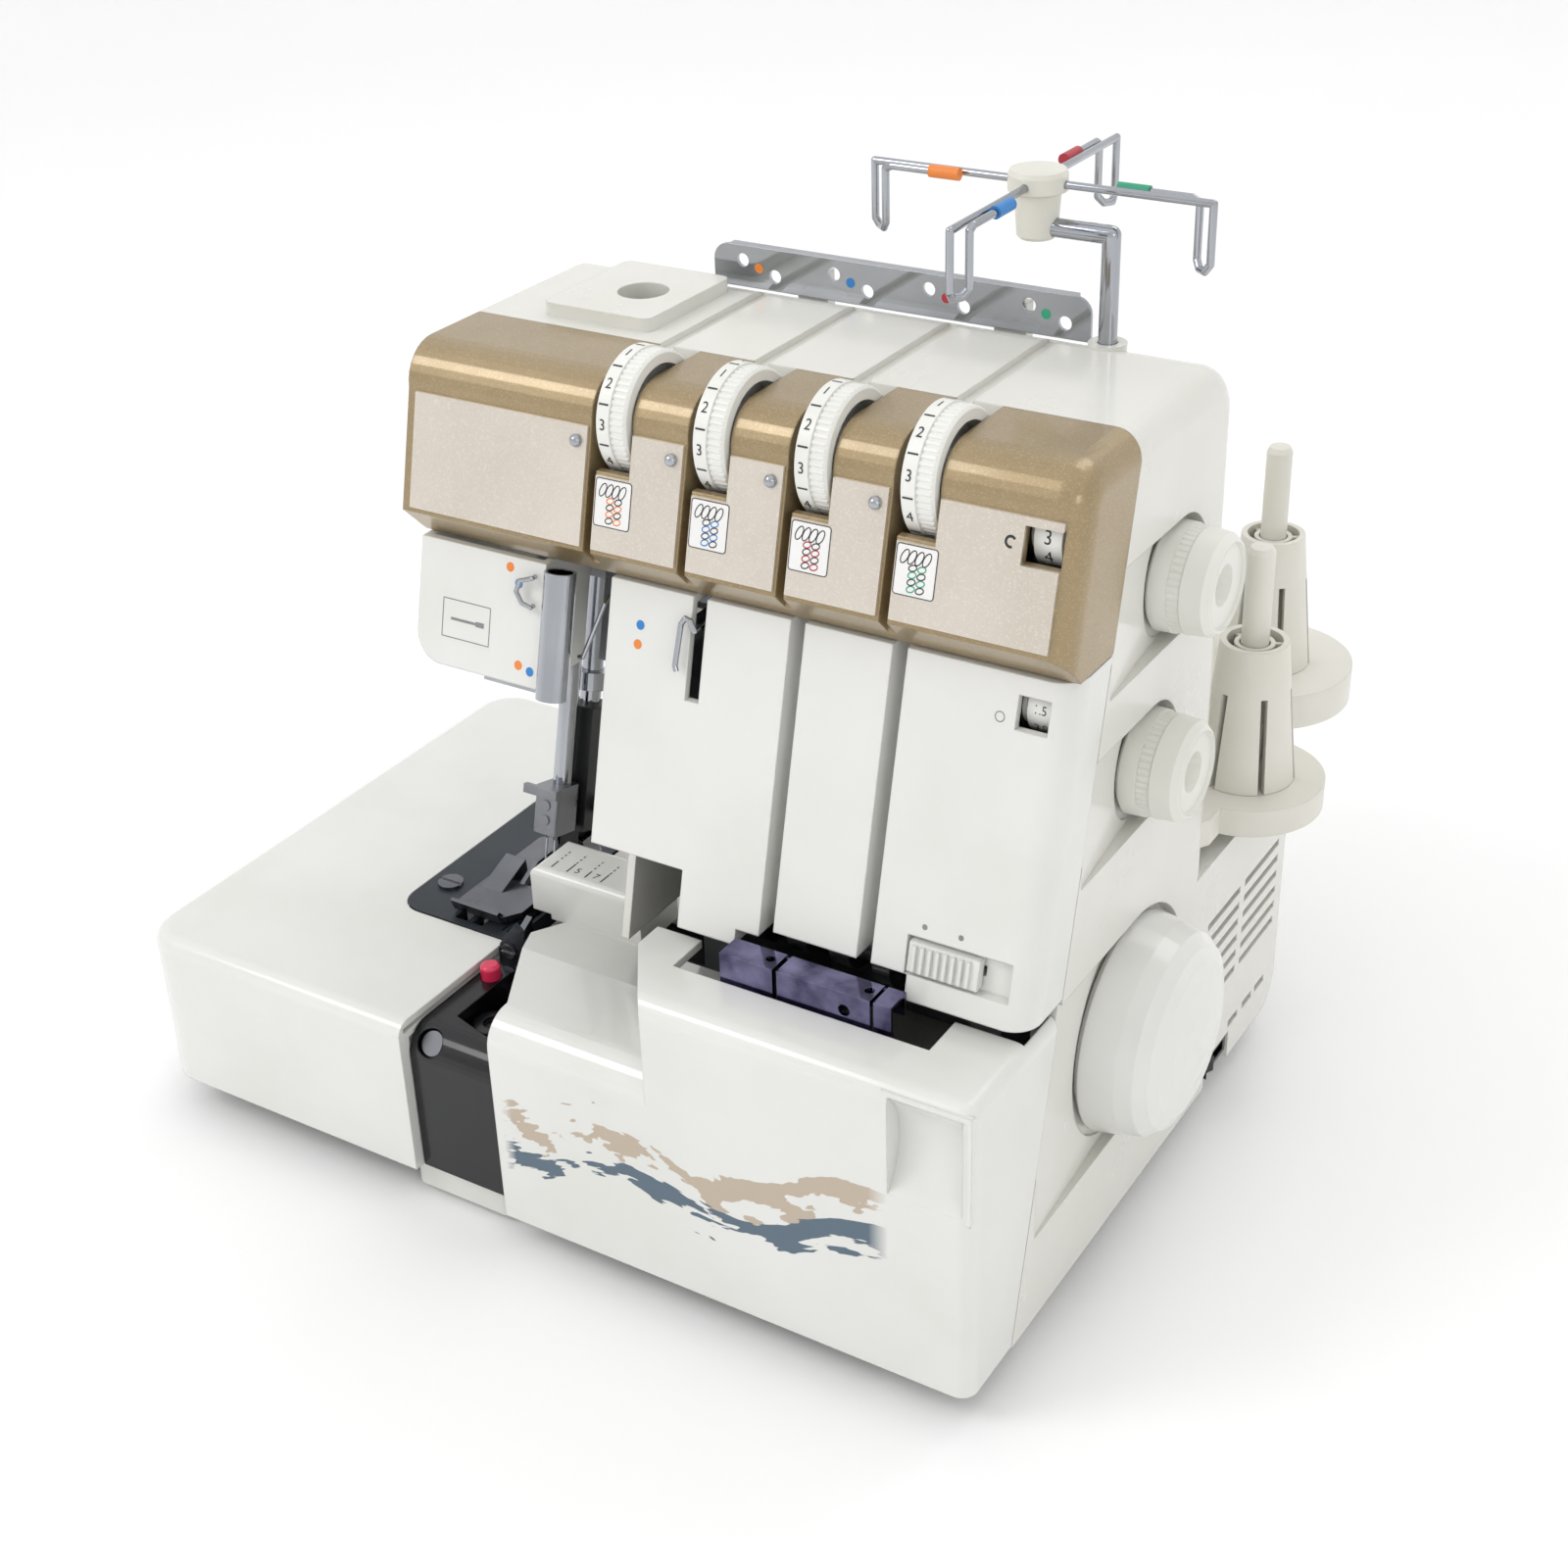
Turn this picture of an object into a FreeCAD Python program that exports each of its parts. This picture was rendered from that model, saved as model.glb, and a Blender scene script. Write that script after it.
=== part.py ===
import FreeCAD, Part
import math
import os

os.makedirs("parts", exist_ok=True)

# Serger (overlock machine), millimetres. Z is up, the sewer sits on the -Y side.
# X = 0 is midway between the cloth table's left edge and the handwheel's face,
# Y = 0 is midway between the looper cover's front and the back of the spool stand,
# Z = 0 is the bench under the rubber feet.

# ---- driving dimensions -------------------------------------------------
RIGHT = 141.0            # right side wall of the casing
COLUMN_LEFT = -0.5       # left side of the machine's column
HEAD_LEFT = -67.5        # left end of the overhanging head
FRONT = -148.0           # front face of the looper cover
BACK_UPPER = 4.0         # back of the upper casing
BACK_LOWER = 74.0        # back of the low motor housing
LOWER_TOP = 98.0         # top of the motor housing
TOP = 260.0              # top of the casing
HEAD_BOTTOM = 169.0      # underside of the head
UNDERSIDE = 9.0          # underside of the casing
BED_TOP = 67.0           # sewing level
WALL = 2.6               # casing wall
SKIN = 2.4               # wall of the front panels
LEAN = 0.2554            # the front panels lean back by this much per mm of height
LEAN_DEG = math.degrees(math.atan(LEAN))
SPLIT_Y = -125.0         # where the leaning joint between front and rear shells meets Z = 0
STRIP_Y = -145.8         # where the white front panel's plane meets Z = 0
GOLD_Y = -155.8          # where the tension panel's plane meets Z = 0
FACE_Y = -147.8          # where the face plate's plane meets Z = 0
DECK_TOP = 108.0         # top of the looper cover
COVER_LEFT = -17.5       # left end of the looper cover's front
HOLDER_CLEAR = -40.4     # the cover's ramp stays right of this, clear of the lower knife's holder
PANEL_BOTTOM = 205.0     # lower edge of the tension panel
TABLE_LEFT = -161.5      # left edge of the cloth table
TABLE_RIGHT = -53.0      # right rim of the cloth table
TABLE_BACK = 45.0        # back edge of the cloth table
TABLE_CORNER = 14.0      # corner radius of the cloth table, seen from above
TABLE_BOTTOM = 12.6      # lower edge of the cloth table
TOP_EDGE = 8.0           # round along the casing's upper right edge
COVER_EDGE = 5.0         # round down the looper cover's right front edge
NEEDLE_X = -60.5         # needle bar, side to side
NEEDLE_Y = -57.0         # needle bar where it crosses the sewing level
SHAFT_Y = -48.0          # main shaft
SHAFT_Z = 75.0
NEEDLE_RIGHT = -52.6     # right edge of the needle plate's recess
SLOT_FIRST = -4.3        # left side of the first tension-dial slot
SLOT_PITCH = 30.9
SLOT_WIDTH = 13.3
DIAL_Y = -77.5           # centre of the tension dials
DIAL_Z = 248.0
STITCH_Y = -30.0         # stitch-length knob
STITCH_Z = 209.0
DIFF_Y = -43.6           # differential-feed knob
DIFF_Z = 159.0
MOTOR_Y = 30.0           # motor axis
MOTOR_Z = 47.0
PULLEY_R = 6.0           # little pulleys that turn the number drums
DRUM_STITCH = (-82.4, 240.6)
DRUM_DIFF = (-85.4, 194.0)
HINGE_Y = -138.0         # looper-cover hinge
HINGE_Z = 14.0
POLE_X = 105.7           # thread-tree pole
POLE_Y = -4.7
HUB_X = 83.8
ARM_Z = 302.0            # height of the thread-tree arms, pole down
SPINDLES = [(137.0, 42.0), (69.0, 42.0), (113.0, 118.5), (45.0, 118.5)]
STAND_TOP = 112.0        # top of the spool plate

GROOVES = [SLOT_FIRST + k * SLOT_PITCH for k in range(4)]


# ---- small helpers ------------------------------------------------------
def vec(x, y, z):
    return FreeCAD.Vector(x, y, z)


def box(x0, x1, y0, y1, z0, z1):
    return Part.makeBox(x1 - x0, y1 - y0, z1 - z0, vec(x0, y0, z0))


def rod_x(x0, x1, y, z, r):
    return Part.makeCylinder(r, x1 - x0, vec(x0, y, z), vec(1, 0, 0))


def rod_y(y0, y1, x, z, r):
    return Part.makeCylinder(r, y1 - y0, vec(x, y0, z), vec(0, 1, 0))


def rod_z(z0, z1, x, y, r):
    return Part.makeCylinder(r, z1 - z0, vec(x, y, z0), vec(0, 0, 1))


def rod_between(a, b, r):
    start, end = vec(*a), vec(*b)
    return Part.makeCylinder(r, (end - start).Length, start, end - start)


def prism(points, along):
    face = Part.Face(Part.makePolygon(points + points[:1]))
    return face.extrude(along)


def prism_x(profile, x0, x1):
    """Extrude a (y, z) outline from x0 to x1."""
    return prism([vec(x0, y, z) for y, z in profile], vec(x1 - x0, 0, 0))


def prism_y(profile, y0, y1):
    """Extrude an (x, z) outline from y0 to y1."""
    return prism([vec(x, y0, z) for x, z in profile], vec(0, y1 - y0, 0))


def prism_z(profile, z0, z1):
    """Extrude an (x, y) outline from z0 to z1."""
    return prism([vec(x, y, z0) for x, y in profile], vec(0, 0, z1 - z0))


def arc(cx, cy, r, a0, a1, steps=8):
    """Points of an arc, angles in degrees, for use in an outline."""
    angles = [math.radians(a0 + (a1 - a0) * k / steps) for k in range(steps + 1)]
    return [(cx + r * math.cos(a), cy + r * math.sin(a)) for a in angles]


def join(shapes):
    result = shapes[0]
    if len(shapes) > 1:
        result = shapes[0].multiFuse(list(shapes[1:]))
    return result.removeSplitter()


def group(shapes):
    return Part.makeCompound(shapes)


def wire_rod(points, r):
    """Round wire through points, with a ball at every bend."""
    pieces = [rod_between(a, b, r) for a, b in zip(points, points[1:])]
    pieces += [Part.makeSphere(r, vec(*p)) for p in points[1:-1]]
    return join(pieces)


def revolve_x(profile, x0, y, z):
    """Turn an (along, radius) outline about the X-wise line through (y, z)."""
    points = [vec(x0 + a, y, z + r) for a, r in profile]
    face = Part.Face(Part.makePolygon(points + points[:1]))
    return face.revolve(vec(x0, y, z), vec(1, 0, 0), 360)


def revolve_z(profile, x, y, z0):
    """Turn a (radius, height) outline about the upright line through (x, y)."""
    points = [vec(x + r, y, z0 + h) for r, h in profile]
    face = Part.Face(Part.makePolygon(points + points[:1]))
    return face.revolve(vec(x, y, z0), vec(0, 0, 1), 360)


def leaned(shape):
    """Tip an upright shape back so it follows the needle bar."""
    tipped = shape.copy()
    tipped.rotate(vec(0, NEEDLE_Y, BED_TOP), vec(1, 0, 0), -LEAN_DEG)
    return tipped


def lean_y(y0, z):
    return y0 + LEAN * z


def slanted(x0, x1, y0, z0, z1, thick):
    """Leaning slab whose front plane meets Z = 0 at y0."""
    return prism([vec(x0, lean_y(y0, z0), z0), vec(x1, lean_y(y0, z0), z0), vec(x1, lean_y(y0,
                                                                                           z0) + thick, z0),
                  vec(x0, lean_y(y0, z0) + thick, z0)], vec(0, LEAN * (z1 - z0), z1 - z0))


def save(name, shape):
    shape.exportStep("parts/" + name + ".step")


# ---- casings ------------------------------------------------------------
def rear_profile(inset):
    """Side outline of the upper casing behind the leaning joint."""
    back = BACK_UPPER - inset
    top = TOP - inset * 1.5
    corner = 14.0 - inset
    low = UNDERSIDE if inset == 0 else 0.0
    front = -0.01 if inset else 0.0
    outline = [(lean_y(SPLIT_Y, low) + front, low), (back, low)]
    outline += arc(back - corner, top - corner, corner, 0, 90)
    outline += [(lean_y(SPLIT_Y, top) + front, top)]
    return outline


def knob_pocket(y, z, radius, depth, grow):
    """Round pocket in the right wall that runs out to the front as a ramp."""
    floor = RIGHT - depth - grow
    outer = RIGHT + 1.0 if grow == 0 else RIGHT - 0.5
    r = radius + grow
    run = radius + 26.0
    ramp = prism_z([(floor, y), (outer, y), (outer, y - run), (RIGHT - 0.5 - grow, y - run)], z - r,
                   z + r)
    return rod_x(floor, outer, y, z, r).fuse(ramp)


def on_top_right(edge):
    """True for the casing's edges along the upper right corner, rounded back included."""
    bounds = edge.BoundBox
    return bounds.XMin > RIGHT - 0.01 and bounds.ZMin > TOP - 16.0


def rear_casing():
    outer = prism_x(rear_profile(0), HEAD_LEFT, RIGHT)
    inner = prism_x(rear_profile(WALL), HEAD_LEFT + WALL, RIGHT - WALL)
    outer = outer.cut(box(HEAD_LEFT - 1, COLUMN_LEFT, -200, 60, 0, HEAD_BOTTOM))
    inner = inner.cut(box(HEAD_LEFT - 1, COLUMN_LEFT + WALL, -200, 60, 0, HEAD_BOTTOM + WALL))
    low_y, low_left, corner = -12.0, -20.0, 12.0
    low_outline = [(low_y, UNDERSIDE)] + arc(BACK_LOWER - corner, UNDERSIDE + corner, corner, -90, 0)
    low_outline += arc(BACK_LOWER - 10, LOWER_TOP - 10, 10, 0, 90) + [(low_y, LOWER_TOP)]
    low_outer = prism_x(low_outline, low_left, RIGHT)
    low_inside = [(low_y + WALL, 0), (BACK_LOWER - WALL, 0)]
    low_inside += arc(BACK_LOWER - 10, LOWER_TOP - 10, 10 - WALL, 0,
                      90) + [(low_y + WALL, LOWER_TOP - WALL)]
    low_inner = prism_x(low_inside, low_left + WALL, RIGHT - WALL)
    rooms = inner.fuse(low_inner)
    outer = outer.makeFillet(TOP_EDGE, [e for e in outer.Edges if on_top_right(e)])
    hull = outer.fuse(low_outer)
    shell = hull.cut(rooms)
    pockets = []
    bosses = []
    for y, z, r, depth in [(STITCH_Y, STITCH_Z, 17.4, 5.0), (DIFF_Y, DIFF_Z, 17.4, 5.0),
                           (SHAFT_Y, SHAFT_Z, 35.6, 4.0)]:
        pockets.append(knob_pocket(y, z, r, depth, 0))
        bosses.append(knob_pocket(y, z, r, depth, 2.2))
    shell = shell.fuse(join(bosses).common(hull)).cut(join(pockets))
    bed = [box(NEEDLE_RIGHT, COLUMN_LEFT + WALL, -56.6, low_y - WALL, BED_TOP - WALL, BED_TOP),
           box(low_left, COLUMN_LEFT + WALL, low_y - WALL - 1, low_y + WALL, BED_TOP - WALL, BED_TOP)]
    openings = [box(COLUMN_LEFT - 1, COLUMN_LEFT + WALL, -130, -57.0, 0, 90.0),
                box(COLUMN_LEFT - 1, COLUMN_LEFT + WALL, -58.0, low_y + WALL, 0, BED_TOP - WALL),
                box(low_left + WALL, COLUMN_LEFT + WALL + 0.1, low_y - 1, low_y + WALL + 0.1, 0,
                    BED_TOP - WALL),
                box(HEAD_LEFT + WALL, COLUMN_LEFT - 2.6, -95, -42.0, HEAD_BOTTOM - 1, HEAD_BOTTOM + 3),
                box(HEAD_LEFT + WALL, -36.0, -43.0, -1.0, HEAD_BOTTOM - 1, HEAD_BOTTOM + 3)]
    shell = shell.cut(join(openings))
    holes = [rod_x(120, 150, SHAFT_Y, SHAFT_Z, 9.0)]
    holes += [rod_x(120, 150, STITCH_Y, STITCH_Z, 3.4), rod_x(120, 150, DIFF_Y, DIFF_Z, 3.4)]
    for row in range(6):
        z = 74.0 - 6.0 * row
        holes.append(box(RIGHT - 4, RIGHT + 1, 9, 35, z - 1.2, z + 1.2))
        holes.append(box(RIGHT - 4, RIGHT + 1, 39, 68, z - 1.2, z + 1.2))
    for y in (37.0, 49.0, 60.0):
        holes.append(box(RIGHT - 4, RIGHT + 1, y - 4, y + 4, 21.4, 24.0))
    holes.append(box(RIGHT - 4, RIGHT + 1, 14.0, 34.0, UNDERSIDE - 1, 19.5))
    for x in GROOVES:
        holes.append(box(x - 0.2, x + 4.4, -70, -5.0, TOP - 1.8, TOP + 1))
    holes.append(rod_z(TOP - 10, TOP + 8, POLE_X, POLE_Y, 2.75))
    holes.append(rod_z(TOP - 10, TOP + 8, -28.0, -32.0, 7.5))
    pad = box(-49, -12, -53, -10, TOP - 1, TOP + 4)
    pad = pad.makeFillet(3.0, [e for e in pad.Edges if e.BoundBox.ZMax - e.BoundBox.ZMin > 4])
    collar = rod_z(TOP - 8, TOP + 0.8, POLE_X, POLE_Y, 5.4).common(box(90, 120, -20, 3, 250, 261))
    lugs = [box(x, x + 10, -2.2, 2.0, 248, 267) for x in (6, 70)]
    return join([shell, pad, collar] + bed + lugs).cut(join(holes))


def gold_profile(inset):
    corner = 12.0 - inset
    top = TOP - inset
    low = PANEL_BOTTOM + inset
    bevel = PANEL_BOTTOM + 9.3
    front_top = top - corner
    cy = lean_y(GOLD_Y, front_top) + inset + corner
    outline = [(lean_y(SPLIT_Y, low) + (0.4 if inset else 0), low), (-92.0 + inset * 0.7, low)]
    outline += [(lean_y(GOLD_Y, bevel) + inset, bevel + inset * 0.4)]
    outline += arc(cy, top - corner, corner, 180, 90)
    outline += [(lean_y(SPLIT_Y, top) + (0.4 if inset else 0), top)]
    return outline


def tension_panel():
    solid = prism_x(gold_profile(0), HEAD_LEFT, RIGHT)
    ends = [e for e in solid.Edges if e.BoundBox.XMax - e.BoundBox.XMin < 0.01 and e.BoundBox.XMin > 0
            and e.BoundBox.YMax < -60 and e.BoundBox.ZMin > PANEL_BOTTOM + 5]
    solid = solid.makeFillet(TOP_EDGE, ends)
    inner = prism_x(gold_profile(SKIN), HEAD_LEFT + SKIN, RIGHT - 5.0)
    walls = []
    cuts = []
    for x in GROOVES:
        walls.append(box(x - 1.6, x + SLOT_WIDTH + 1.6, -110, -60, 227.0, TOP - 1))
        cuts.append(box(x, x + SLOT_WIDTH, -120, -55, 236.4, TOP + 1))
        cuts.append(slanted(x, x + SLOT_WIDTH, GOLD_Y + SKIN, 229.0, 237.0, 45))
        cuts.append(slanted(x, x + 2.6, GOLD_Y - 3, 200, 238, 9.0))
        walls.append(slanted(x - 1.6, x + 4.4, GOLD_Y + 2, 204, 234, 5.8))
        cuts.append(rod_x(x + SLOT_WIDTH - 0.5, x + SLOT_WIDTH + 3, DIAL_Y, DIAL_Z, 9.2))
        cuts.append(rod_x(x - 2.5, x + 0.5, DIAL_Y, DIAL_Z, 3.4))
    cuts.append(box(125.7, 136.0, -120, -84, 235.8, 245.5))
    shell = solid.cut(inner)
    lining = join(walls).common(solid)
    return shell.fuse(lining).cut(join(cuts))


def fascia_plates():
    """Five thin pearl plates lying on the tension panel."""
    def plate(x0, x1, z0, z1):
        y0, y1 = lean_y(GOLD_Y, z0), lean_y(GOLD_Y, z1)
        return prism([vec(x0, y0 - 0.8, z0), vec(x1, y0 - 0.8, z0), vec(x1, y0, z0), vec(x0, y0, z0)],
                     vec(0, y1 - y0, z1 - z0))
    low, slot_end, high = 215.8, 236.0, 247.6
    plates = [plate(HEAD_LEFT + 3, GROOVES[0] - 0.8, low, high)]
    for k, x in enumerate(GROOVES):
        stop = GROOVES[k + 1] - 0.8 if k < 3 else 136.0
        wide = plate(x + 3.0, stop, low, slot_end - 0.4)
        tall = plate(x + SLOT_WIDTH + 0.6, stop, slot_end - 1.0, high)
        plates.append(wide.fuse(tall).removeSplitter())
    window = box(125.7, 136.5, -120, -84, 235.8, 245.5)
    plates[4] = plates[4].cut(window)
    return group(plates)


def front_cover():
    top = PANEL_BOTTOM - 0.5
    depth = SPLIT_Y - STRIP_Y - 0.3
    solid = slanted(COLUMN_LEFT, RIGHT, STRIP_Y, 112.4, top, depth)
    edge = [e for e in solid.Edges if e.BoundBox.XMin > RIGHT - 0.5 and e.BoundBox.ZMax - e.BoundBox.ZMin > 50
            and e.BoundBox.YMin < -112]
    solid = solid.makeFillet(8.0, edge)
    cuts = [slanted(COLUMN_LEFT + SKIN, RIGHT - WALL, STRIP_Y + 13.0, 100, 220, 30)]
    for x0, x1 in [(COLUMN_LEFT + SKIN, 55.3), (64.4, 86.2), (95.4, 136.4)]:
        cuts.append(slanted(x0, x1, STRIP_Y + SKIN, 134.0, top - SKIN, 15.0))
    for x in GROOVES[2:]:
        cuts.append(slanted(x, x + 4.5, STRIP_Y - 1, 100, 220, 11.0))
    cuts.append(slanted(GROOVES[1], GROOVES[1] + 4.5, STRIP_Y - 1, 176, 220, 9.0))
    cuts.append(box(-5, 31, -130, -80, 100, 129.0))
    cuts.append(box(50, 59, -130, -80, 100, 117.0))
    cuts.append(box(59, 104, -130, -80, 100, 119.5))
    cuts.append(box(125.5, 134.5, -110, -88, 190.5, 199.5))
    cuts.append(slanted(103, 134, STRIP_Y - 1, 119.6, 130.4, 4.0))
    cuts.append(slanted(110.4, 125.6, STRIP_Y - 1, 123.6, 126.4, 16.0))
    return solid.cut(join(cuts))


def face_plate():
    top = PANEL_BOTTOM - 0.5
    depth = SPLIT_Y - FACE_Y - 0.4
    left, right = HEAD_LEFT + 1.5, -21.6
    solid = slanted(left, right, FACE_Y, HEAD_BOTTOM, top, depth)
    corner = box(left - 1, left + 9, -130, -60, HEAD_BOTTOM - 1, HEAD_BOTTOM + 9)
    corner = corner.cut(rod_y(-131, -59, left + 9, HEAD_BOTTOM + 9, 9.0))
    inner = slanted(left + SKIN, right - SKIN, FACE_Y + SKIN, HEAD_BOTTOM + SKIN, top + 1, depth)
    return solid.cut(inner).cut(corner)


def cover_outline(inset):
    deck = DECK_TOP - inset
    front = FRONT + inset
    r = 6.0 - inset
    outline = [(front, 10.0 if inset == 0 else 0.0)] + arc(front + r, deck - r, r, 180, 90)
    outline += [(-114.0 if inset == 0 else -100.0, deck)]
    low = 10.0 if inset == 0 else 0.0
    outline += [(lean_y(SPLIT_Y, 108) - 0.4 if inset == 0 else -60.0, deck - 0.01)]
    outline += [(lean_y(SPLIT_Y, low) - 0.4 if inset == 0 else -60.0, low)]
    return outline


def ramp_outline(inset):
    front = FRONT + inset
    r = 10.0 - inset
    top = 82.0 - inset
    low = 10.0 if inset == 0 else 0.0
    outline = [(front, low)] + arc(front + r, top - r, r, 180, 90)
    outline += [(-110.0, 80.5 - inset), (-78.0, 69.0 - inset)]
    if inset == 0:
        outline += [(-78.0, 66.4), (-109.0, 66.4), (-112.0, low)]
    else:
        outline += [(-60.0, 60.0), (-60.0, low)]
    return outline


def looper_cover():
    deck = prism_x(cover_outline(0), 22.0, RIGHT)
    corner = [e for e in deck.Edges if e.BoundBox.XMin > RIGHT - 0.01 and e.BoundBox.YMax < -113.0
              and e.BoundBox.ZMax > 50]
    deck = deck.makeFillet(COVER_EDGE, corner)
    deck = deck.cut(prism_z([(0, FRONT - 1), (39, FRONT - 1), (22, -124), (0, -124)], 0, 120))
    deck = deck.cut(box(0, RIGHT - WALL, -114.0, -60, 0, 120))
    deck_room = prism_x(cover_outline(WALL), 22.0 + WALL, RIGHT - WALL)
    deck_room = deck_room.cut(prism_z([(0, FRONT - 1), (42.4, FRONT - 1), (22 + WALL, -123.2),
                                       (0, -123)], 0, 120))
    ramp = prism_x(ramp_outline(0), -54.0, 43.0)
    beyond = [(-60, FRONT - 1), (COVER_LEFT, FRONT - 1), (COVER_LEFT, -137), (HOLDER_CLEAR, -96),
              (HOLDER_CLEAR, -77), (-60, -77)]
    ramp = ramp.cut(prism_z(beyond, 0, 90))
    ramp = ramp.cut(box(-60, 24, -136.5, -60, 0, 66.2))
    ramp = ramp.cut(box(24, 44, -114, -60, 0, 120)).cut(box(24.0, 44, -130, -60, 0, 66.2))
    ramp_room = prism_x(ramp_outline(2.2), COVER_LEFT + 2.2, 60.0)
    ramp_room = ramp_room.cut(box(-60, COVER_LEFT + 2.2, -200, 0, 0, 100))
    block = box(-53.0, -11.0, -78.5, -58.0, 68.6, 86.0)
    block = block.makeFillet(2.5, [e for e in block.Edges if e.BoundBox.ZMin > 85.9])
    block_room = box(-50.8, -13.2, -76.3, -60.2, 60.0, 83.8)
    knife_way = box(-54.0, -46.0, -80.0, -70.0, 60.0, 70.5)
    link = box(HOLDER_CLEAR, -11.0, -84.0, -77.0, 66.4, 68.6)
    shell = join([deck, ramp]).cut(deck_room).cut(ramp_room.cut(box(34, 80, -200, 0, 79, 120)))
    shell = shell.cut(box(37.0, 118.0, -128.5, -100, 100, 112))
    shell = join([shell, block.cut(block_room).cut(knife_way), link])
    grip_y, grip_z, grip_r = FRONT - 14.8, 89.0, 21.8
    lining = rod_x(113.8, 140.4, grip_y, grip_z, grip_r + 2.4).common(box(113, RIGHT, FRONT + 1, -130,
                                                                          60, 106))
    shell = join([shell, lining]).cut(rod_x(116.0, 138.0, grip_y, grip_z, grip_r))
    lugs = []
    for x in (0.0, 120.0):
        lugs.append(box(x - 8, x - 2, FRONT + 2, HINGE_Y + 4, 10.4, 18.4))
    return join([shell] + lugs).cut(rod_x(-9, 130, HINGE_Y, HINGE_Z, 2.05))


def cover_pins():
    """Two pins the looper cover turns on; they slide sideways in the pan's brackets."""
    return group([rod_x(x - 8, x + 14, HINGE_Y, HINGE_Z, 2.0) for x in (0.0, 120.0)])


def side_cover():
    r = TABLE_CORNER
    plan = [(TABLE_RIGHT, FRONT + 1), (TABLE_LEFT + r, FRONT + 1)]
    plan += arc(TABLE_LEFT + r, FRONT + 1 + r, r, 270, 180)
    plan += arc(TABLE_LEFT + r, TABLE_BACK - r, r, 180, 90) + [(TABLE_RIGHT, TABLE_BACK)]
    solid = prism_z(plan, TABLE_BOTTOM, BED_TOP)
    top_edges = [e for e in solid.Edges
                 if e.BoundBox.ZMin > BED_TOP - 0.01 and e.BoundBox.XMax < TABLE_RIGHT + 0.1
                 and not (abs(e.BoundBox.XMin - TABLE_RIGHT) < 0.01)]
    solid = solid.makeFillet(5.0, top_edges)
    inner_plan = [(TABLE_RIGHT + 1, FRONT + 1 + SKIN), (TABLE_LEFT + r, FRONT + 1 + SKIN)]
    inner_plan += arc(TABLE_LEFT + r, FRONT + 1 + r, r - SKIN, 270, 180)
    inner_plan += arc(TABLE_LEFT + r, TABLE_BACK - r, r - SKIN, 180,
                      90) + [(TABLE_RIGHT + 1, TABLE_BACK - SKIN)]
    shell = solid.cut(prism_z(inner_plan, 5.0, BED_TOP - SKIN))
    plate_hole = prism_z([(-50, -94.1)] + arc(-88.5, -85.1, 9.0, 270, 180) + [(-97.5, -14.6),
                                                                              (-50, -14.6)],
                         BED_TOP - 10, BED_TOP + 1)
    behind = box(TABLE_RIGHT - 1, -22.5, -14.2, TABLE_BACK, BED_TOP - 3.0, BED_TOP)
    rim = box(TABLE_RIGHT - SKIN, TABLE_RIGHT, FRONT + 1, -96.0, TABLE_BOTTOM, BED_TOP - 4)
    rim = rim.cut(box(TABLE_RIGHT - 5, TABLE_RIGHT + 1, FRONT + 5.5, -90, 5, BED_TOP - 6.4))
    return join([shell, behind, rim]).cut(plate_hole)


def knife_housing():
    front, top, r = FRONT + 4.5, 63.6, 9.0
    outline = [(front, 12.6)] + arc(front + r, top - r, r, 180, 90) + [(-96.5, top), (-96.5, 12.6)]
    solid = prism_x(outline, TABLE_RIGHT + 0.4, COVER_LEFT - 0.5)
    room = [(front + SKIN, 0)] + arc(front + r, 46.0 - r, r - SKIN, 180, 90) + [(-90, 46.0 - SKIN),
                                                                                (-90, 0)]
    solid = solid.cut(prism_x(room, TABLE_RIGHT + 0.4 + SKIN, COVER_LEFT - 0.5 - SKIN))
    beside = prism_z([(-18.1, -137.4), (-46.6, -86.4), (-10, -86.4), (-10, -137.4)], 0, 80)
    well = prism_z([(-44, -130), (-30, -134), (-10, -134), (-10, -90), (-40, -90), (-44, -104)], 50.0,
                   70.0)
    slope = vec(0, -0.78, 0.62)
    start = vec(-46.0, front + r, top - r) + slope * 5.0
    recess = Part.makeCylinder(4.6, 12.0, start, slope)
    solid = solid.cut(beside).cut(well).cut(recess)
    solid = solid.cut(box(-53, -36, -100.5, -96, 51, 64))
    solid = solid.cut(rod_z(44, 52, -37.0, -122.0, 2.1))
    return solid.cut(rod_z(50, 70, -48.0, -108.0, 3.4))


def base_pan():
    front_plate = box(NEEDLE_RIGHT + 0.2, RIGHT - WALL - 0.5, -118.5, -13.0, 9.4, 12.0)
    back_plate = box(-16.8, RIGHT - WALL - 0.5, -14.0, BACK_LOWER - 4.0, 9.4, 12.0)
    tongue = box(-13.0, 130, -131.0, -118, 9.4, 12.0)
    toe = box(-58, -21.0, -142.0, -112, 3.0, 12.0)
    toe = toe.makeFillet(3.0, [e for e in toe.Edges if abs(e.BoundBox.ZMax - e.BoundBox.ZMin) > 8])
    brackets = []
    for x in (6.0, 126.0):
        bracket = box(x, x + 4, HINGE_Y - 3.4, -118, 9.4, 18.4)
        brackets.append(bracket.cut(rod_x(x - 1, x + 5, HINGE_Y, HINGE_Z, 2.06)))
    bosses = [rod_z(3.0, 9.5, x, y, 9.5) for x, y in [(122, -106), (122, 56), (-6, 56)]]
    vents = [box(x, x + 30, y, y + 3, 5, 13) for x in (30, 72) for y in (14, 22, 30, 38)]
    return join([front_plate, back_plate, tongue, toe] + brackets + bosses).cut(join(vents))


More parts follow.
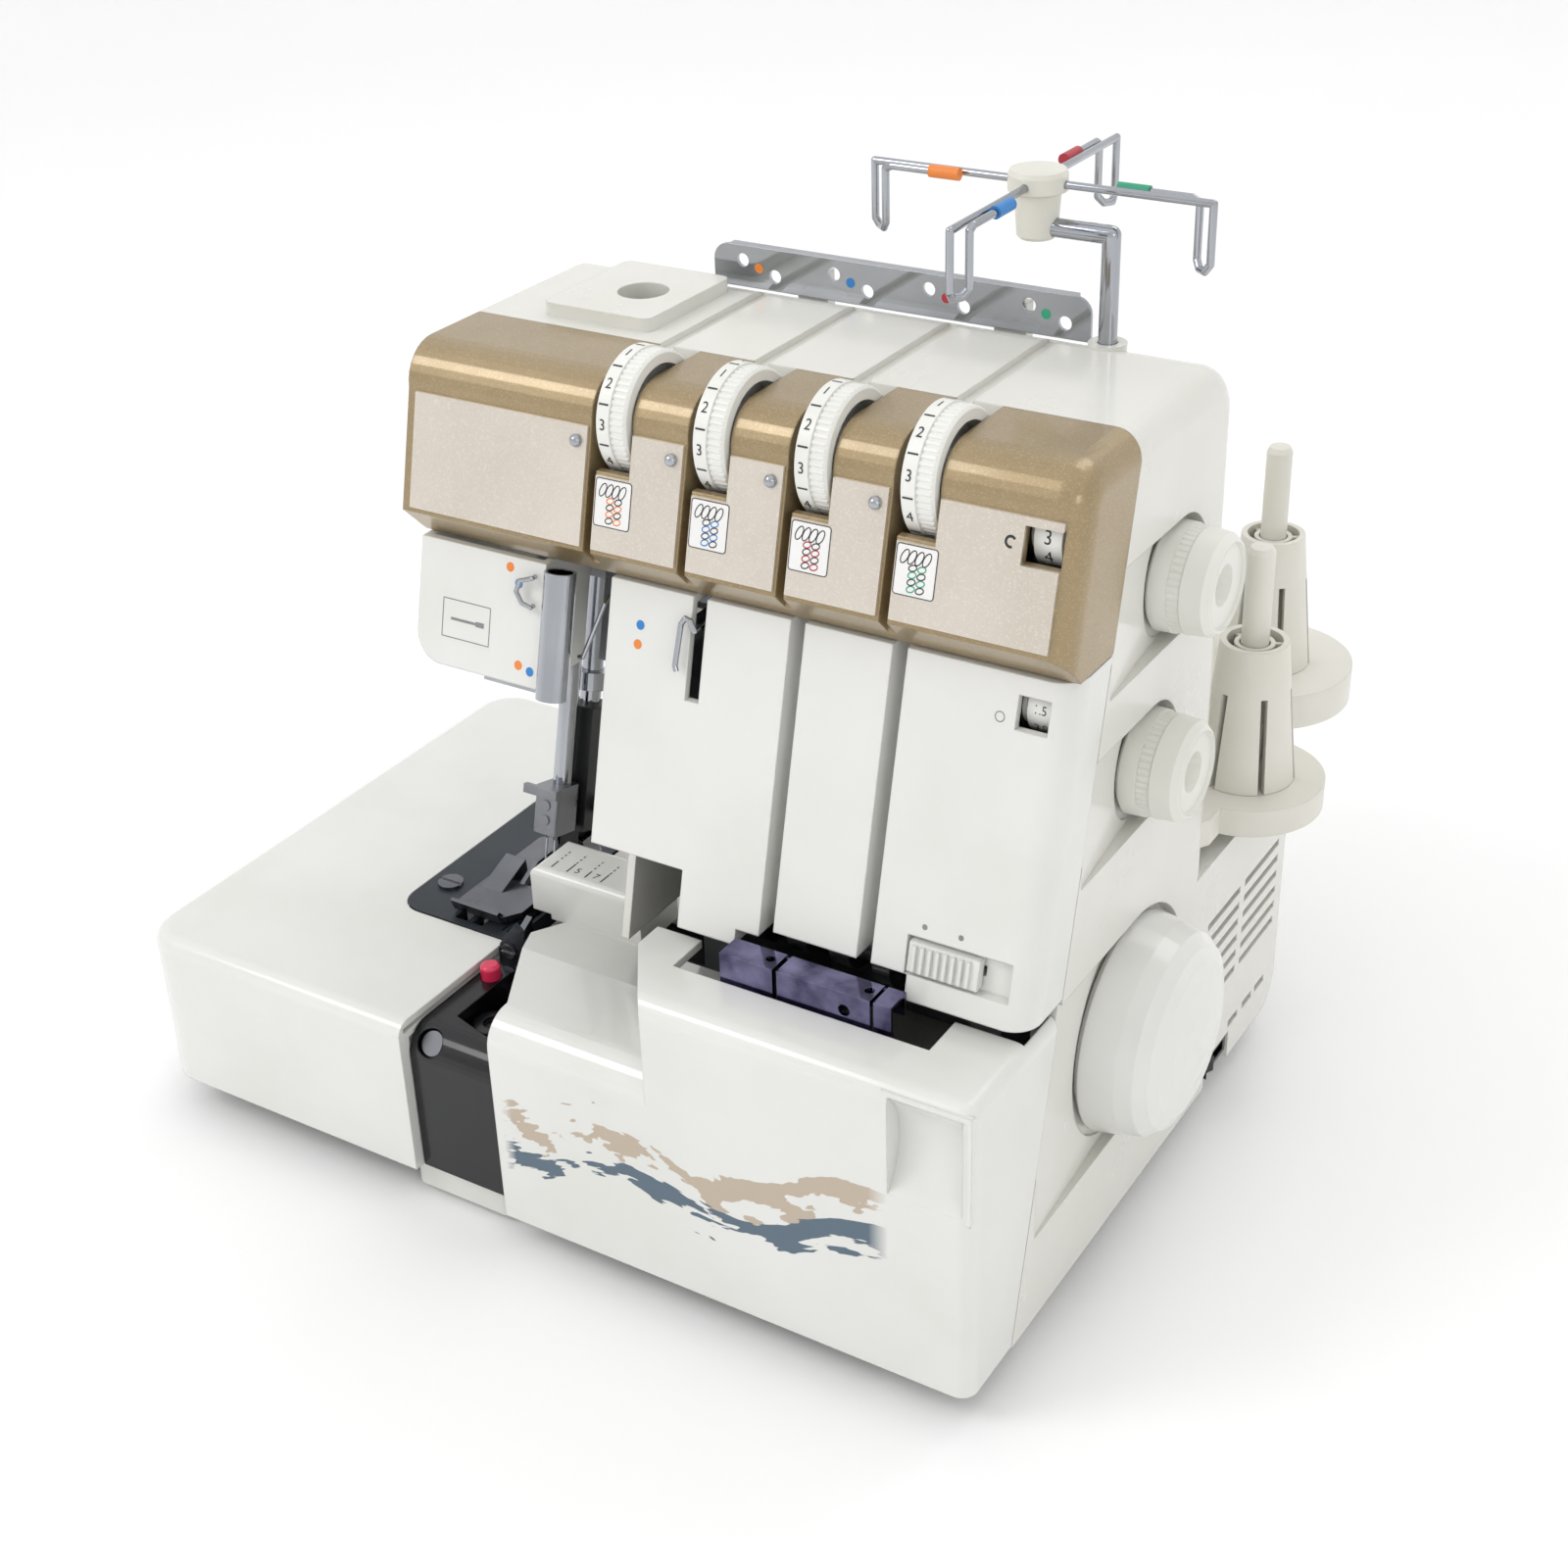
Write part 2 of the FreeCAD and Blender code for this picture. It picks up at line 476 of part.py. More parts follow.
def rubber_feet():
    feet = []
    for x, y in [(122, -106), (122, 56), (-6, 56), (-40, -126)]:
        feet.append(revolve_z([(0, 0), (7.6, 0), (8.2, 0.8), (7.4, 3.0), (0, 3.0)], x, y, 0))
    return group(feet)


# ---- frame and drive ----------------------------------------------------
def cast_frame():
    floor = box(-52, 121, -88, -13.5, 14.0, 19.0)
    rear_floor = box(-16.4, 121, -14.0, 62, 14.0, 19.0)
    pads = [rod_z(12.0, 14.5, x, y, 7) for x, y in [(112, -70), (112, 50), (-8, 52), (-40, -70)]]
    left_wall = box(4, 14, -66, -6, 18.5, 180)
    right_wall = box(98, 108, -66, -30, 18.5, 180)
    beam = prism_x([(-46, 176), (-2, 176), (-2, 196), (-10, 204), (-42, 204)], -64.0, 90.0)
    beam_end = box(89.0, 113.0, -46, -14, 176, 203)
    rail = box(-92.0, -53.4, -33, -16, 44, 65)
    rail_end = box(-54.0, 5, -33, -16, 44, 64.0)
    side_rail = box(-92.0, -80, -88.0, -16, 50, 65)
    looper_wall = box(-34, 5, -48, -32, 18.5, 45)
    knife_post = box(-46.5, -36, -92.5, -84.5, 18.5, 40)
    rod_ears = [box(-10.0, -6.2, -84, -30, 236, 254).cut(box(-11, -6, -90, -66, 230, 241)),
                box(113.0, 116.0, -84, -30, 236, 254).cut(box(112, 117, -90, -66, 230, 241))]
    ties = [box(-10.0, -6.2, -44, -30, 203, 240), box(104.0, 116.0, -44, -36, 196, 240)]
    lug = [box(-36, -14, -40, -24, 226, 236), box(-20, -14, -40, -24, 203, 236)]
    liner = slanted(-14.0, -2.6, FACE_Y + 19.0, 172, 200, 2.2)
    liner_tie = box(-14.0, -4.0, -84, -44, 188, 192)
    liner_tie = liner_tie.cut(slanted(-20, 0, FACE_Y - 20, 180, 200, 40))
    pole_lug = box(98, 112.5, -15, -1.5, 190, 203)
    lifter_lugs = [box(x, x + 3.4, -14, -4, 156, 178) for x in (-58.4, -39.4)]
    body = join([floor, rear_floor, left_wall, right_wall, beam, beam_end, rail, rail_end, side_rail,
                 looper_wall,
                 knife_post, liner, liner_tie, pole_lug] + pads + rod_ears + ties + lug + lifter_lugs)
    cuts = [rod_x(0, 20, SHAFT_Y, SHAFT_Z, 9.0), rod_x(95, 112, SHAFT_Y, SHAFT_Z, 9.0)]
    cuts += [leaned(rod_z(60, 240, NEEDLE_X, NEEDLE_Y, 3.25)), leaned(rod_z(60, 240, NEEDLE_X,
                                                                            NEEDLE_Y + 12.0, 3.55))]
    cuts += [rod_z(180, 215, POLE_X, POLE_Y, 2.65), rod_x(-12, 120, DIAL_Y, DIAL_Z, 3.04)]
    cuts += [rod_z(220, 240, -28.0, -32.0, 3.55), rod_x(-60, -30, -9.0, 161.0, 2.54)]
    cuts += [rod_y(-50, -30, -8, 27, 3.04), rod_y(-50, -30, -26, 38, 3.04), rod_x(-50, -35, -88.5, 34,
                                                                                  2.54)]
    cuts += [box(20, 92, -80, 0, 10, 20), box(52, 80, 20, 40, 10, 20)]
    return body.cut(join(cuts))


def main_shaft():
    shaft = rod_x(3.2, 138.0, SHAFT_Y, SHAFT_Z, 6.0)
    eccentrics = [rod_x(30, 37, SHAFT_Y, SHAFT_Z + 2.0, 11.0), rod_x(44, 51, SHAFT_Y + 2.0, SHAFT_Z,
                                                                     11.0),
                  rod_x(60, 66, SHAFT_Y, SHAFT_Z - 2.0, 10.0), rod_x(16.5, 22, SHAFT_Y, SHAFT_Z + 3.0,
                                                                     12.0)]
    return join([shaft] + eccentrics)


def shaft_bushes():
    bushes = []
    for x0, x1 in [(3.0, 15.0), (97.0, 109.0)]:
        ring = rod_x(x0, x1, SHAFT_Y, SHAFT_Z, 9.0).cut(rod_x(x0, x1, SHAFT_Y, SHAFT_Z, 6.04))
        bushes.append(ring)
    return group(bushes)


def handwheel():
    rim = [(0, 6.0), (0, 31.6), (1.8, 33.6), (12, 32.0), (17.0, 30.6), (20.4, 27.6), (22.2, 23.5),
           (23.3, 16), (23.8, 8), (23.9, 0), (2.4, 0), (2.4, 6.0)]
    wheel = revolve_x(rim, 137.6, SHAFT_Y, SHAFT_Z)
    dish = revolve_x([(-1, 10), (-1, 29.4), (13.5, 28.2), (13.5, 10)], 137.6, SHAFT_Y, SHAFT_Z)
    pulley = [(0, 6.03), (0, 20.5), (1.6, 20.5), (2.4, 18.6), (7.6, 18.6), (8.4, 20.5), (10, 20.5),
              (10, 8.4),
              (19.5, 8.4), (19.5, 6.03)]
    hub = revolve_x(pulley, 118.5, SHAFT_Y, SHAFT_Z)
    return join([wheel.cut(dish), hub])


def motor():
    y, z, r = MOTOR_Y, MOTOR_Z, 25.0
    can = revolve_x([(0, 9), (0, 22), (2.5, r), (57.5, r), (60, 22), (60, 9), (63, 8), (63, 4.06),
                     (-3, 4.06), (-3, 8)],
                    42.0, y, z)
    feet = [box(x, x + 9, y - 20, y + 20, 19.0, 34.0).cut(rod_x(x - 1, x + 10, y, z,
                                                                r - 1.5)) for x in (48, 86)]
    return join([can] + feet)


def motor_pulley():
    y, z = MOTOR_Y, MOTOR_Z
    shaft = rod_x(36, 130.0, y, z, 4.0)
    pulley = revolve_x([(0, 0), (0, 10.4), (1.6, 10.4), (2.4, 8.6), (7.6, 8.6), (8.4, 10.4), (10, 10.4),
                        (10, 0)],
                       118.5, y, z)
    return join([shaft, pulley])


# ---- stitching parts ----------------------------------------------------
def needle_plate():
    plan = [(-53.5, -93.7)] + arc(-88.5, -85.2, 8.5, 270, 180) + [(-97.0, -15.0), (-53.5, -15.0)]
    plate = prism_z(plan, 65.0, BED_TOP + 0.3)
    cuts = [box(-75.4, -70.4, -91, -46, 60, 70), box(-68.4, -64.6, -91, -46, 60, 70), box(-63.8, -58.2,
                                                                                          -65, -57.5, 60, 70)]
    cuts += [box(-57.6, -53.0, -92, -55.5, 60, 70)]
    finger = box(-56.9, -55.6, -92, -62, 65.0, BED_TOP + 0.3)
    finger_root = box(-58.1, -54.2, -93.7, -90.0, 65.0, BED_TOP + 0.3)
    return join([plate.cut(join(cuts)), finger, finger_root])


def feed_dogs():
    bars = []
    for x in (-74.6, -67.9):
        teeth = [(-86.0, 54), (-51.0, 54)]
        for k in range(14):
            y = -51.0 - 2.5 * k
            teeth += [(y, 67.9), (y - 1.2, 67.9), (y - 2.5, 66.9)]
        bars.append(prism_x(teeth, x, x + (3.4 if x < -70 else 2.4)))
    carrier = box(-76, -64.5, -72, -58, 50, 55)
    return join(bars + [carrier])


def needle_bar():
    bar = rod_z(101, 214, NEEDLE_X, NEEDLE_Y, 3.2)
    return leaned(bar)


def needle_clamp():
    block = box(NEEDLE_X - 4.6, NEEDLE_X + 4.6, NEEDLE_Y - 8.6, NEEDLE_Y + 3.4, 85.0, 101.0)
    block = block.makeFillet(1.2, [e for e in block.Edges if e.BoundBox.ZMax - e.BoundBox.ZMin > 10])
    sockets = [rod_z(84, 96, NEEDLE_X + dx, NEEDLE_Y - 4.2, 1.05) for dx in (-1.6, 1.6)]
    screws = [rod_y(NEEDLE_Y - 9.0, NEEDLE_Y - 7.8, NEEDLE_X, z, 1.8) for z in (90.0, 95.0)]
    guide = box(NEEDLE_X - 8.0, NEEDLE_X + 5.0, NEEDLE_Y - 10.4, NEEDLE_Y - 8.4, 98.0, 101.0)
    guide_tie = box(NEEDLE_X - 1.0, NEEDLE_X + 1.0, NEEDLE_Y - 8.8, NEEDLE_Y - 8.0, 98.4, 100.6)
    return leaned(join([block.cut(join(sockets)), guide, guide_tie] + screws))


def needles():
    pair = []
    for dx in (-1.6, 1.6):
        profile = [(0, 0), (0.12, 0), (0.4, 3.0), (0.4, 22), (1.0, 25), (1.0, 35), (0, 35)]
        pair.append(revolve_z(profile, NEEDLE_X + dx, NEEDLE_Y - 4.2, 60.5))
    return leaned(group(pair))


def presser_bar():
    bar = rod_z(92, 224, NEEDLE_X, NEEDLE_Y + 12.0, 3.5)
    collar = rod_z(131, 137, NEEDLE_X, NEEDLE_Y + 12.0, 5.6)
    return leaned(join([bar, collar]))


def foot_holder():
    block = box(NEEDLE_X - 6.0, NEEDLE_X + 6.0, NEEDLE_Y + 5.2, NEEDLE_Y + 18.0, 84.0, 126.0)
    bore = rod_z(92, 127, NEEDLE_X, NEEDLE_Y + 12.0, 3.5)
    slot = box(NEEDLE_X + 3.0, NEEDLE_X + 7.0, NEEDLE_Y + 14.5, NEEDLE_Y + 16.5, 95, 124)
    screw = rod_x(NEEDLE_X + 6.0, NEEDLE_X + 10.0, NEEDLE_Y + 12.0, 92.0, 2.8)
    ankle = box(NEEDLE_X - 3.6, NEEDLE_X + 3.6, NEEDLE_Y + 6.0, NEEDLE_Y + 14.0, 76.5, 85.0)
    pin_hole = rod_x(NEEDLE_X - 5, NEEDLE_X + 5, NEEDLE_Y + 9.5, 79.5, 1.35)
    return leaned(join([block.cut(bore).cut(slot), screw, ankle]).cut(pin_hole))


def presser_foot():
    sole = prism_z([(-78, -88), (-59, -88), (-55, -82), (-55, -38), (-60, -34), (-72, -34), (-78, -42)],
                   68.1, 70.3)
    nose = prism_x([(-88, 68.2), (-89.6, 72.2), (-88.4, 72.6), (-86.0, 70.2), (-86, 68.2)], -78, -59)
    wedge = prism_x([(-78, 69.5), (-62, 75.6), (-61.6, 69.5)], -76.0, -68.0)
    hinge = leaned(rod_x(NEEDLE_X - 6.0, NEEDLE_X + 6.0, NEEDLE_Y + 9.5, 79.5, 1.3))
    centre = hinge.BoundBox.Center
    cheeks = [box(x, x + 2.0, centre.y - 4.0, centre.y + 4.5, 69.5,
                  centre.z + 2.4) for x in (NEEDLE_X - 6.2, NEEDLE_X + 4.2)]
    opening = box(-63.5, -57.6, -68, -54, 66, 72)
    rails = prism_x([(-46.0, 69.5), (-52.0, 74.5), (-60.0, 74.5), (-70, 69.5)], -66.4, -64.6)
    return join([sole, nose, wedge, rails]).cut(opening).fuse(join([hinge] + cheeks)).removeSplitter()


def presser_leaf():
    """Leaf spring from under the regulator screw to the presser bar's top."""
    return prism_z([(-34, -37), (-22, -37), (-22, -27), (-54, -1), (-64, -1), (-64, -11)], 221.0, 222.0)


def pressure_screw():
    body = rod_z(226.0, 250.0, -28.0, -32.0, 3.5)
    head = rod_z(248.0, 258.0, -28.0, -32.0, 6.2)
    tip = rod_z(222.0, 226.5, -28.0, -32.0, 2.4)
    slot = box(-34, -22, -32.7, -31.3, 256.2, 259)
    return join([body, head, tip]).cut(slot)


def presser_lifter():
    """Cam lever at the back of the head, turned about a cross pin."""
    hub = rod_x(-54.6, -39.8, -9.0, 161.0, 5.6)
    pin = rod_x(-58.4, -36.0, -9.0, 161.0, 2.5)
    lever = prism_x([(-11, 157), (2, 150), (20, 148), (30, 142), (31, 146), (21, 153), (4, 156),
                     (-6, 165)], -50, -42)
    return join([hub, pin, lever])


def upper_looper():
    rod = rod_y(-84, -31, -26, 38, 3.0)
    hub = rod_y(-79, -74, -26, 38, 6.0)
    arm = prism_y([(-25, 42.5), (-32, 45), (-40, 50), (-48, 54), (-56, 56), (-56.4, 54.6), (-48, 51.4),
                   (-38, 45.5),
                   (-30.5, 36), (-25, 36)], -78.4, -75.8)
    return join([rod, hub, arm])


def lower_looper():
    rod = rod_y(-74, -31, -8, 27, 3.0)
    hub = rod_y(-73, -67, -8, 27, 6.0)
    outline = [(-6, 31), (-22, 49.5), (-40, 54.2), (-57, 54.9), (-57.4, 53.4), (-40, 51.4), (-24.5, 46.5)]
    outline += [(-12.5, 32.5), (-12.5, 25), (-6, 25)]
    arm = prism_y(outline, -71.5, -68.5)
    return join([rod, hub, arm])


def upper_knife():
    hub = rod_x(-51.0, -47.2, -88.5, 34, 6.0)
    pin = rod_x(-48.0, -36.5, -88.5, 34, 2.5)
    arm = prism_x([(-94, 34), (-84.6, 34), (-84.6, 72), (-92, 68), (-91.6, 56)], -51.0, -48.8)
    return join([hub, pin, arm])


def lower_knife():
    holder = prism_y([(-52.2, 52), (-41, 52), (-43.8, 65), (-43.8, 75), (-46, 77), (-52.2, 68.5)], -97.5,
                     -95.3)
    blade = box(-52.9, -51.4, -97.5, -62, 61.0, 66.8)
    return join([holder, blade])


def knife_release_button():
    cap = rod_z(54.0, 68.4, -48.0, -108.0, 3.2)
    return cap.makeFillet(1.4, [e for e in cap.Edges if e.BoundBox.ZMin > 68.3])


def knife_knob():
    return revolve_z([(0, 0), (2.0, 0), (2.0, 6.2), (6.4, 6.2), (6.8, 7.2), (6.8, 13.6), (6.0, 14.6),
                      (3.2, 14.6),
                      (3.2, 13.2), (0, 13.2)], -37.0, -122.0, 44.2)


# ---- controls -----------------------------------------------------------
def tension_dial(k):
    x = GROOVES[k] + 2.8
    rim = [(0, 3.2), (0, 16.6), (0.8, 17.4), (0.8, 18.0), (4.8, 18.0), (4.8, 17.6), (9.0, 17.6),
           (9.8, 16.8), (9.8, 14.0),
           (4.0, 14.0), (4.0, 6.0), (9.8, 6.0), (9.8, 3.2)]
    dial = revolve_x(rim, x, DIAL_Y, DIAL_Z)
    cuts = []
    for n in range(60):
        a = math.radians(6 * n)
        y, z = DIAL_Y + 17.75 * math.cos(a), DIAL_Z + 17.75 * math.sin(a)
        cuts.append(rod_x(x + 5.0, x + 9.6, y, z, 0.45))
    return dial.cut(group(cuts))


def tension_units():
    pieces = [rod_x(-10.0, 116.0, DIAL_Y, DIAL_Z, 3.0)]
    for x in GROOVES:
        for dx in (0.5, 1.5):
            disc = rod_x(x + dx, x + dx + 0.8, DIAL_Y, DIAL_Z, 11.0)
            pieces.append(disc.cut(rod_x(x - 1, x + 4, DIAL_Y, DIAL_Z, 3.2)))
        cone = revolve_x([(0, 4.0), (0, 5.6), (8.0, 8.4), (8.0, 3.2), (7.0, 3.2), (7.0, 7.0), (0.8, 4.4)],
                         x + 13.0, DIAL_Y, DIAL_Z)
        pieces.append(cone)
    return group(pieces)


def side_knob(y, z):
    rim = [(0, 0), (0, 14.4), (0.9, 15.4), (6.0, 15.2), (6.0, 14.8), (9.6, 14.6), (9.6, 14.9),
           (15.6, 14.3), (17.4, 12.8),
           (17.8, 11.9), (16.6, 11.5), (16.0, 0)]
    knob = revolve_x(rim, 136.8, y, z)
    flutes = []
    for n in range(48):
        a = math.radians(7.5 * n)
        flutes.append(rod_x(142.8, 146.4, y + 15.0 * math.cos(a), z + 15.0 * math.sin(a), 0.5))
    grip = revolve_x([(0, 0), (0, 4.4), (3.4, 5.8), (5.0, 6.0), (5.0, 0)], 149.8, y, z)
    knob = knob.cut(group(flutes)).cut(grip)
    shaft = rod_x(122.0, 137.0, y, z, 3.2)
    pulley = rod_x(122.0, 126.0, y, z, PULLEY_R)
    return join([knob, shaft, pulley])


def number_drum(y, z, r):
    drum = rod_x(126.8, 134.4, y, z, r)
    shaft = rod_x(119.0, 135.6, y, z, 1.8)
    pulley = rod_x(122.0, 126.0, y, z, PULLEY_R)
    return join([drum, shaft, pulley])


def belt(wheel_a, wheel_b, x0, x1, thick):
    """Flat loop round two wheels given as (y, z, radius), lying just off their rims."""
    (ya, za, ra), (yb, zb, rb) = wheel_a, wheel_b
    a, b = vec(0, ya, za), vec(0, yb, zb)
    span = (b - a).Length
    along = (b - a).normalize()
    across = vec(0, -along.z, along.y)
    swing = math.acos((ra - rb) / span)
    outlines = []
    for offset in (thick, 0.05):
        outline = []
        for centre, r, start, stop in ((a, ra, swing, 2 * math.pi - swing), (b, rb, -swing, swing)):
            for k in range(25):
                t = start + (stop - start) * k / 24
                p = centre + along * ((r + offset) * math.cos(t)) + across * ((r + offset) * math.sin(t))
                outline.append((p.y, p.z))
        outlines.append(outline)
    return prism_x(outlines[0], x0, x1).cut(prism_x(outlines[1], x0 - 1, x1 + 1))


def belts():
    """The motor belt and the two small belts that turn the number drums."""
    motor_belt = belt((SHAFT_Y, SHAFT_Z, 18.75), (MOTOR_Y, MOTOR_Z, 8.75), 121.2, 125.8, 1.5)
    knob_belts = [belt((STITCH_Y, STITCH_Z, PULLEY_R), (*DRUM_STITCH, PULLEY_R), 123.2, 124.8, 1.1),
                  belt((DIFF_Y, DIFF_Z, PULLEY_R), (*DRUM_DIFF, PULLEY_R), 123.2, 124.8, 1.1)]
    return group([motor_belt] + knob_belts)


def hem_slider():
    thumb = slanted(104.0, 125.0, STRIP_Y - 0.6, 120.8, 129.2, 3.0)
    stem = slanted(111.0, 117.0, STRIP_Y + 1.0, 123.8, 126.2, 15.0)
    ribs = [slanted(105.4 + 2.3 * k, 106.5 + 2.3 * k, STRIP_Y - 1.6, 121.4, 128.6, 1.4) for k in range(8)]
    return join([thumb, stem] + ribs)


def power_inlet():
    body = box(RIGHT - 16.0, RIGHT - 0.6, 21.0, 33.0, 12.4, 18.9)
    return body.cut(box(RIGHT - 8.0, RIGHT, 22.6, 31.4, 13.8, 17.6))


def power_switch():
    """Rocker beside the inlet, turned about an upright pin."""
    plan = [(RIGHT - 7.0, 15.2), (RIGHT + 0.8, 14.5), (RIGHT - 0.6, 17.4), (RIGHT + 0.8, 20.3),
            (RIGHT - 7.0, 19.6)]
    return prism_z(plan, 12.8, 18.8)


# ---- thread path --------------------------------------------------------
def looper_thread_guide():
    pieces = []
    for x0, x1 in [(52.0, 69.0), (70.4, 99.5), (100.6, 106.0)]:
        top = box(x0, x1, -126.5, -119.0, 115.6, 116.6)
        face = box(x0, x1, -127.5, -126.4, 106.8, 116.6)
        pieces += [top, face]
    spine = box(52.0, 106.0, -120.0, -119.0, 109.5, 116.0)
    post = box(74.0, 84.0, -120.0, -118.6, 19.0, 112.0)
    foot = box(74.0, 84.0, -120.0, -84.0, 19.0, 20.2)
    eye = rod_y(-130, -124, 91.5, 111.0, 1.8)
    holes = [rod_z(112, 120, 66.0, -123.0, 1.4), rod_z(112, 120, 97.0, -123.0, 1.4)]
    foot = foot.cut(box(73, 85, -119, -100, 10, 19.5))
    guide = join(pieces + [spine, post]).cut(join([eye] + holes))
    return guide.fuse(foot).removeSplitter()


def top_thread_guide():
    left, right, low, high, r = -22.0, 100.0, 259.2, 271.6, 5.0
    outline = [(left, low), (right, low)] + arc(right - r, high - r, r, 0, 90) + arc(left + r, high - r,
                                                                                     r, 90, 180)
    plate = prism_y(outline, -3.4, -2.2)
    lip = box(left + r, right - r, -2.4, 0.2, high - 1.1, high)
    holes = []
    for x in (92.3, 61.0, 30.0, -1.0):
        holes += [rod_y(-5, 0, x, 263.6, 2.0), rod_y(-5, 0, x - 11.0, 267.2, 2.0)]
    return join([plate, lip]).cut(join(holes))


def tree_pole():
    pole = rod_z(42.0, 290.2, POLE_X, POLE_Y, 2.6)
    elbow = Part.makeSphere(2.6, vec(POLE_X, POLE_Y, 290.2))
    reach = rod_x(HUB_X, POLE_X, POLE_Y, 290.2, 2.6)
    return join([pole, elbow, reach])


def tree_hub():
    barrel = revolve_z([(0, 0), (4.8, 0), (5.6, 0.8), (6.4, 12.2), (8.2, 13.0), (8.2, 17.2), (7.6, 18.4),
                        (0, 18.4)],
                       HUB_X, POLE_Y, 287.0)
    sockets = [rod_x(HUB_X - 10, HUB_X - 5, POLE_Y, ARM_Z, 1.1), rod_x(HUB_X + 5, HUB_X + 10, POLE_Y,
                                                                       ARM_Z, 1.1),
               rod_y(POLE_Y - 10, POLE_Y - 5, HUB_X, ARM_Z, 1.1), rod_y(POLE_Y + 5, POLE_Y + 10, HUB_X,
                                                                        ARM_Z, 1.1)]
    return barrel.cut(rod_x(HUB_X, HUB_X + 20, POLE_Y, 290.2, 2.6)).cut(join(sockets))


def tree_arm(angle):
    """One bent wire: out along the arm, down, round and back up to a short return."""
    c, s = math.cos(math.radians(angle)), math.sin(math.radians(angle))

    def at(out, side, z):
        return (HUB_X + out * c - side * s, POLE_Y + out * s + side * c, z)
    path = [at(5.0, 0, ARM_Z), at(50, 0, ARM_Z), at(50, 0, ARM_Z - 16), at(48.6, 0, ARM_Z - 18),
            at(46.4, 1.6, ARM_Z - 18),
            at(45.0, 3.0, ARM_Z - 16), at(45.0, 3.0, ARM_Z - 1), at(43.0, 3.0, ARM_Z), at(26.0, 3.0,
                                                                                          ARM_Z)]
    return wire_rod(path, 1.1)


def tree_arms():
    return group([tree_arm(a) for a in (180, 270, 90, 0)])


def arm_sleeves():
    sleeves = []
    for angle in (180, 270, 90, 0):
        c, s = math.cos(math.radians(angle)), math.sin(math.radians(angle))
        ends = [(HUB_X + d * c - 3 * s, POLE_Y + d * s + 3 * c, ARM_Z) for d in (22.0, 26.0, 31.0)]
        sleeve = rod_between(ends[0], ends[2], 1.75)
        sleeves.append(sleeve.cut(rod_between(ends[1], ends[2], 1.1)))
    return group(sleeves)


def head_thread_guides():
    def on_plane(y0, x, z, out):
        return (x, lean_y(y0, z) - out, z)
    face_loop = wire_rod([on_plane(FACE_Y, x, z, out) for x, z, out in [
        (-24.4, 201, 0.9), (-24.4, 201, 2.4), (-28.6, 199.6, 2.6), (-29.6, 196.4, 2.6), (-27.4, 193.6,
                                                                                         2.6),
        (-24.4, 192.8, 2.4), (-24.4, 192.8, 0.9)]], 0.7)
    front_loop = wire_rod([on_plane(STRIP_Y, x, z, out) for x, z, out in [
        (28.8, 196, -7.0), (28.8, 196, 1.6), (27.6, 199, 2.4), (26.0, 199.4, 2.4), (24.8, 197.6, 2.4),
        (24.0, 186, 2.4), (24.6, 184.6, 2.4)]], 0.8)
    bent = wire_rod([on_plane(FACE_Y, x, z, out) for x, z, out in [
        (-5.5, 199, -17.5), (-5.5, 194, -7), (-11.5, 178, -7), (-13.0, 177.6, -7)]], 0.7)
    strip = slanted(-43.0, -22.0, FACE_Y + 3, 166.4, 168.9, 1.4)
    tube = rod_z(0, 37, 0, 0, 4.6).cut(rod_z(-1, 38, 0, 0, 3.6))
    tube.rotate(vec(0, 0, 0), vec(1, 0, 0), -LEAN_DEG)
    tube.translate(vec(-16.6, lean_y(FACE_Y, 167.6), 167.6))
    bar = rod_x(-21.6, -20.9, lean_y(FACE_Y, 186) + 3.4, 186.0, 1.2)
    studs = []
    for x in GROOVES:
        ball = Part.makeSphere(1.9, vec(x - 4.2, lean_y(GOLD_Y, 243.5) - 0.8, 243.5))
        studs.append(ball.cut(slanted(x - 9, x, GOLD_Y - 0.8, 235, 250, 8)))
    return group([face_loop, front_loop, bent, strip, tube, bar] + studs)


def spool_stand():
    lobes = [rod_z(103.0, STAND_TOP, x, y, 24.5) for x, y in SPINDLES[:2]]
    lobes += [rod_z(100.0, STAND_TOP, x, y, 29.5) for x, y in SPINDLES[2:]]
    web = prism_z([(137, 42), (113, 118), (45, 118), (45, 42)], 103.0, STAND_TOP)
    reach = prism_z([(46, 5.0), (136, 5.0), (139, 10), (139, 44), (46, 44)], 103.0, STAND_TOP)
    rest = box(52, 128, 12, 60, LOWER_TOP, 103.5)
    plate = join(lobes + [web, reach])
    hollow = [rod_z(96, STAND_TOP - 3.0, x, y, 21.5) for x, y in SPINDLES[:2]]
    hollow += [rod_z(96, STAND_TOP - 3.0, x, y, 26.5) for x, y in SPINDLES[2:]]
    plate = plate.cut(join(hollow)).cut(box(56, 124, 16, 110, 96, STAND_TOP - 3.0))
    rest = rest.cut(box(56, 124, 16, 56, 90, 110))
    pins = [revolve_z([(0, 0), (6.0, 0), (6.0, 2.0), (4.4, 3.0), (4.2, 78.0), (3.4, 79.6), (0, 80.0)], x,
                      y, STAND_TOP - 3.2)
            for x, y in SPINDLES]
    return join([plate, rest] + pins)


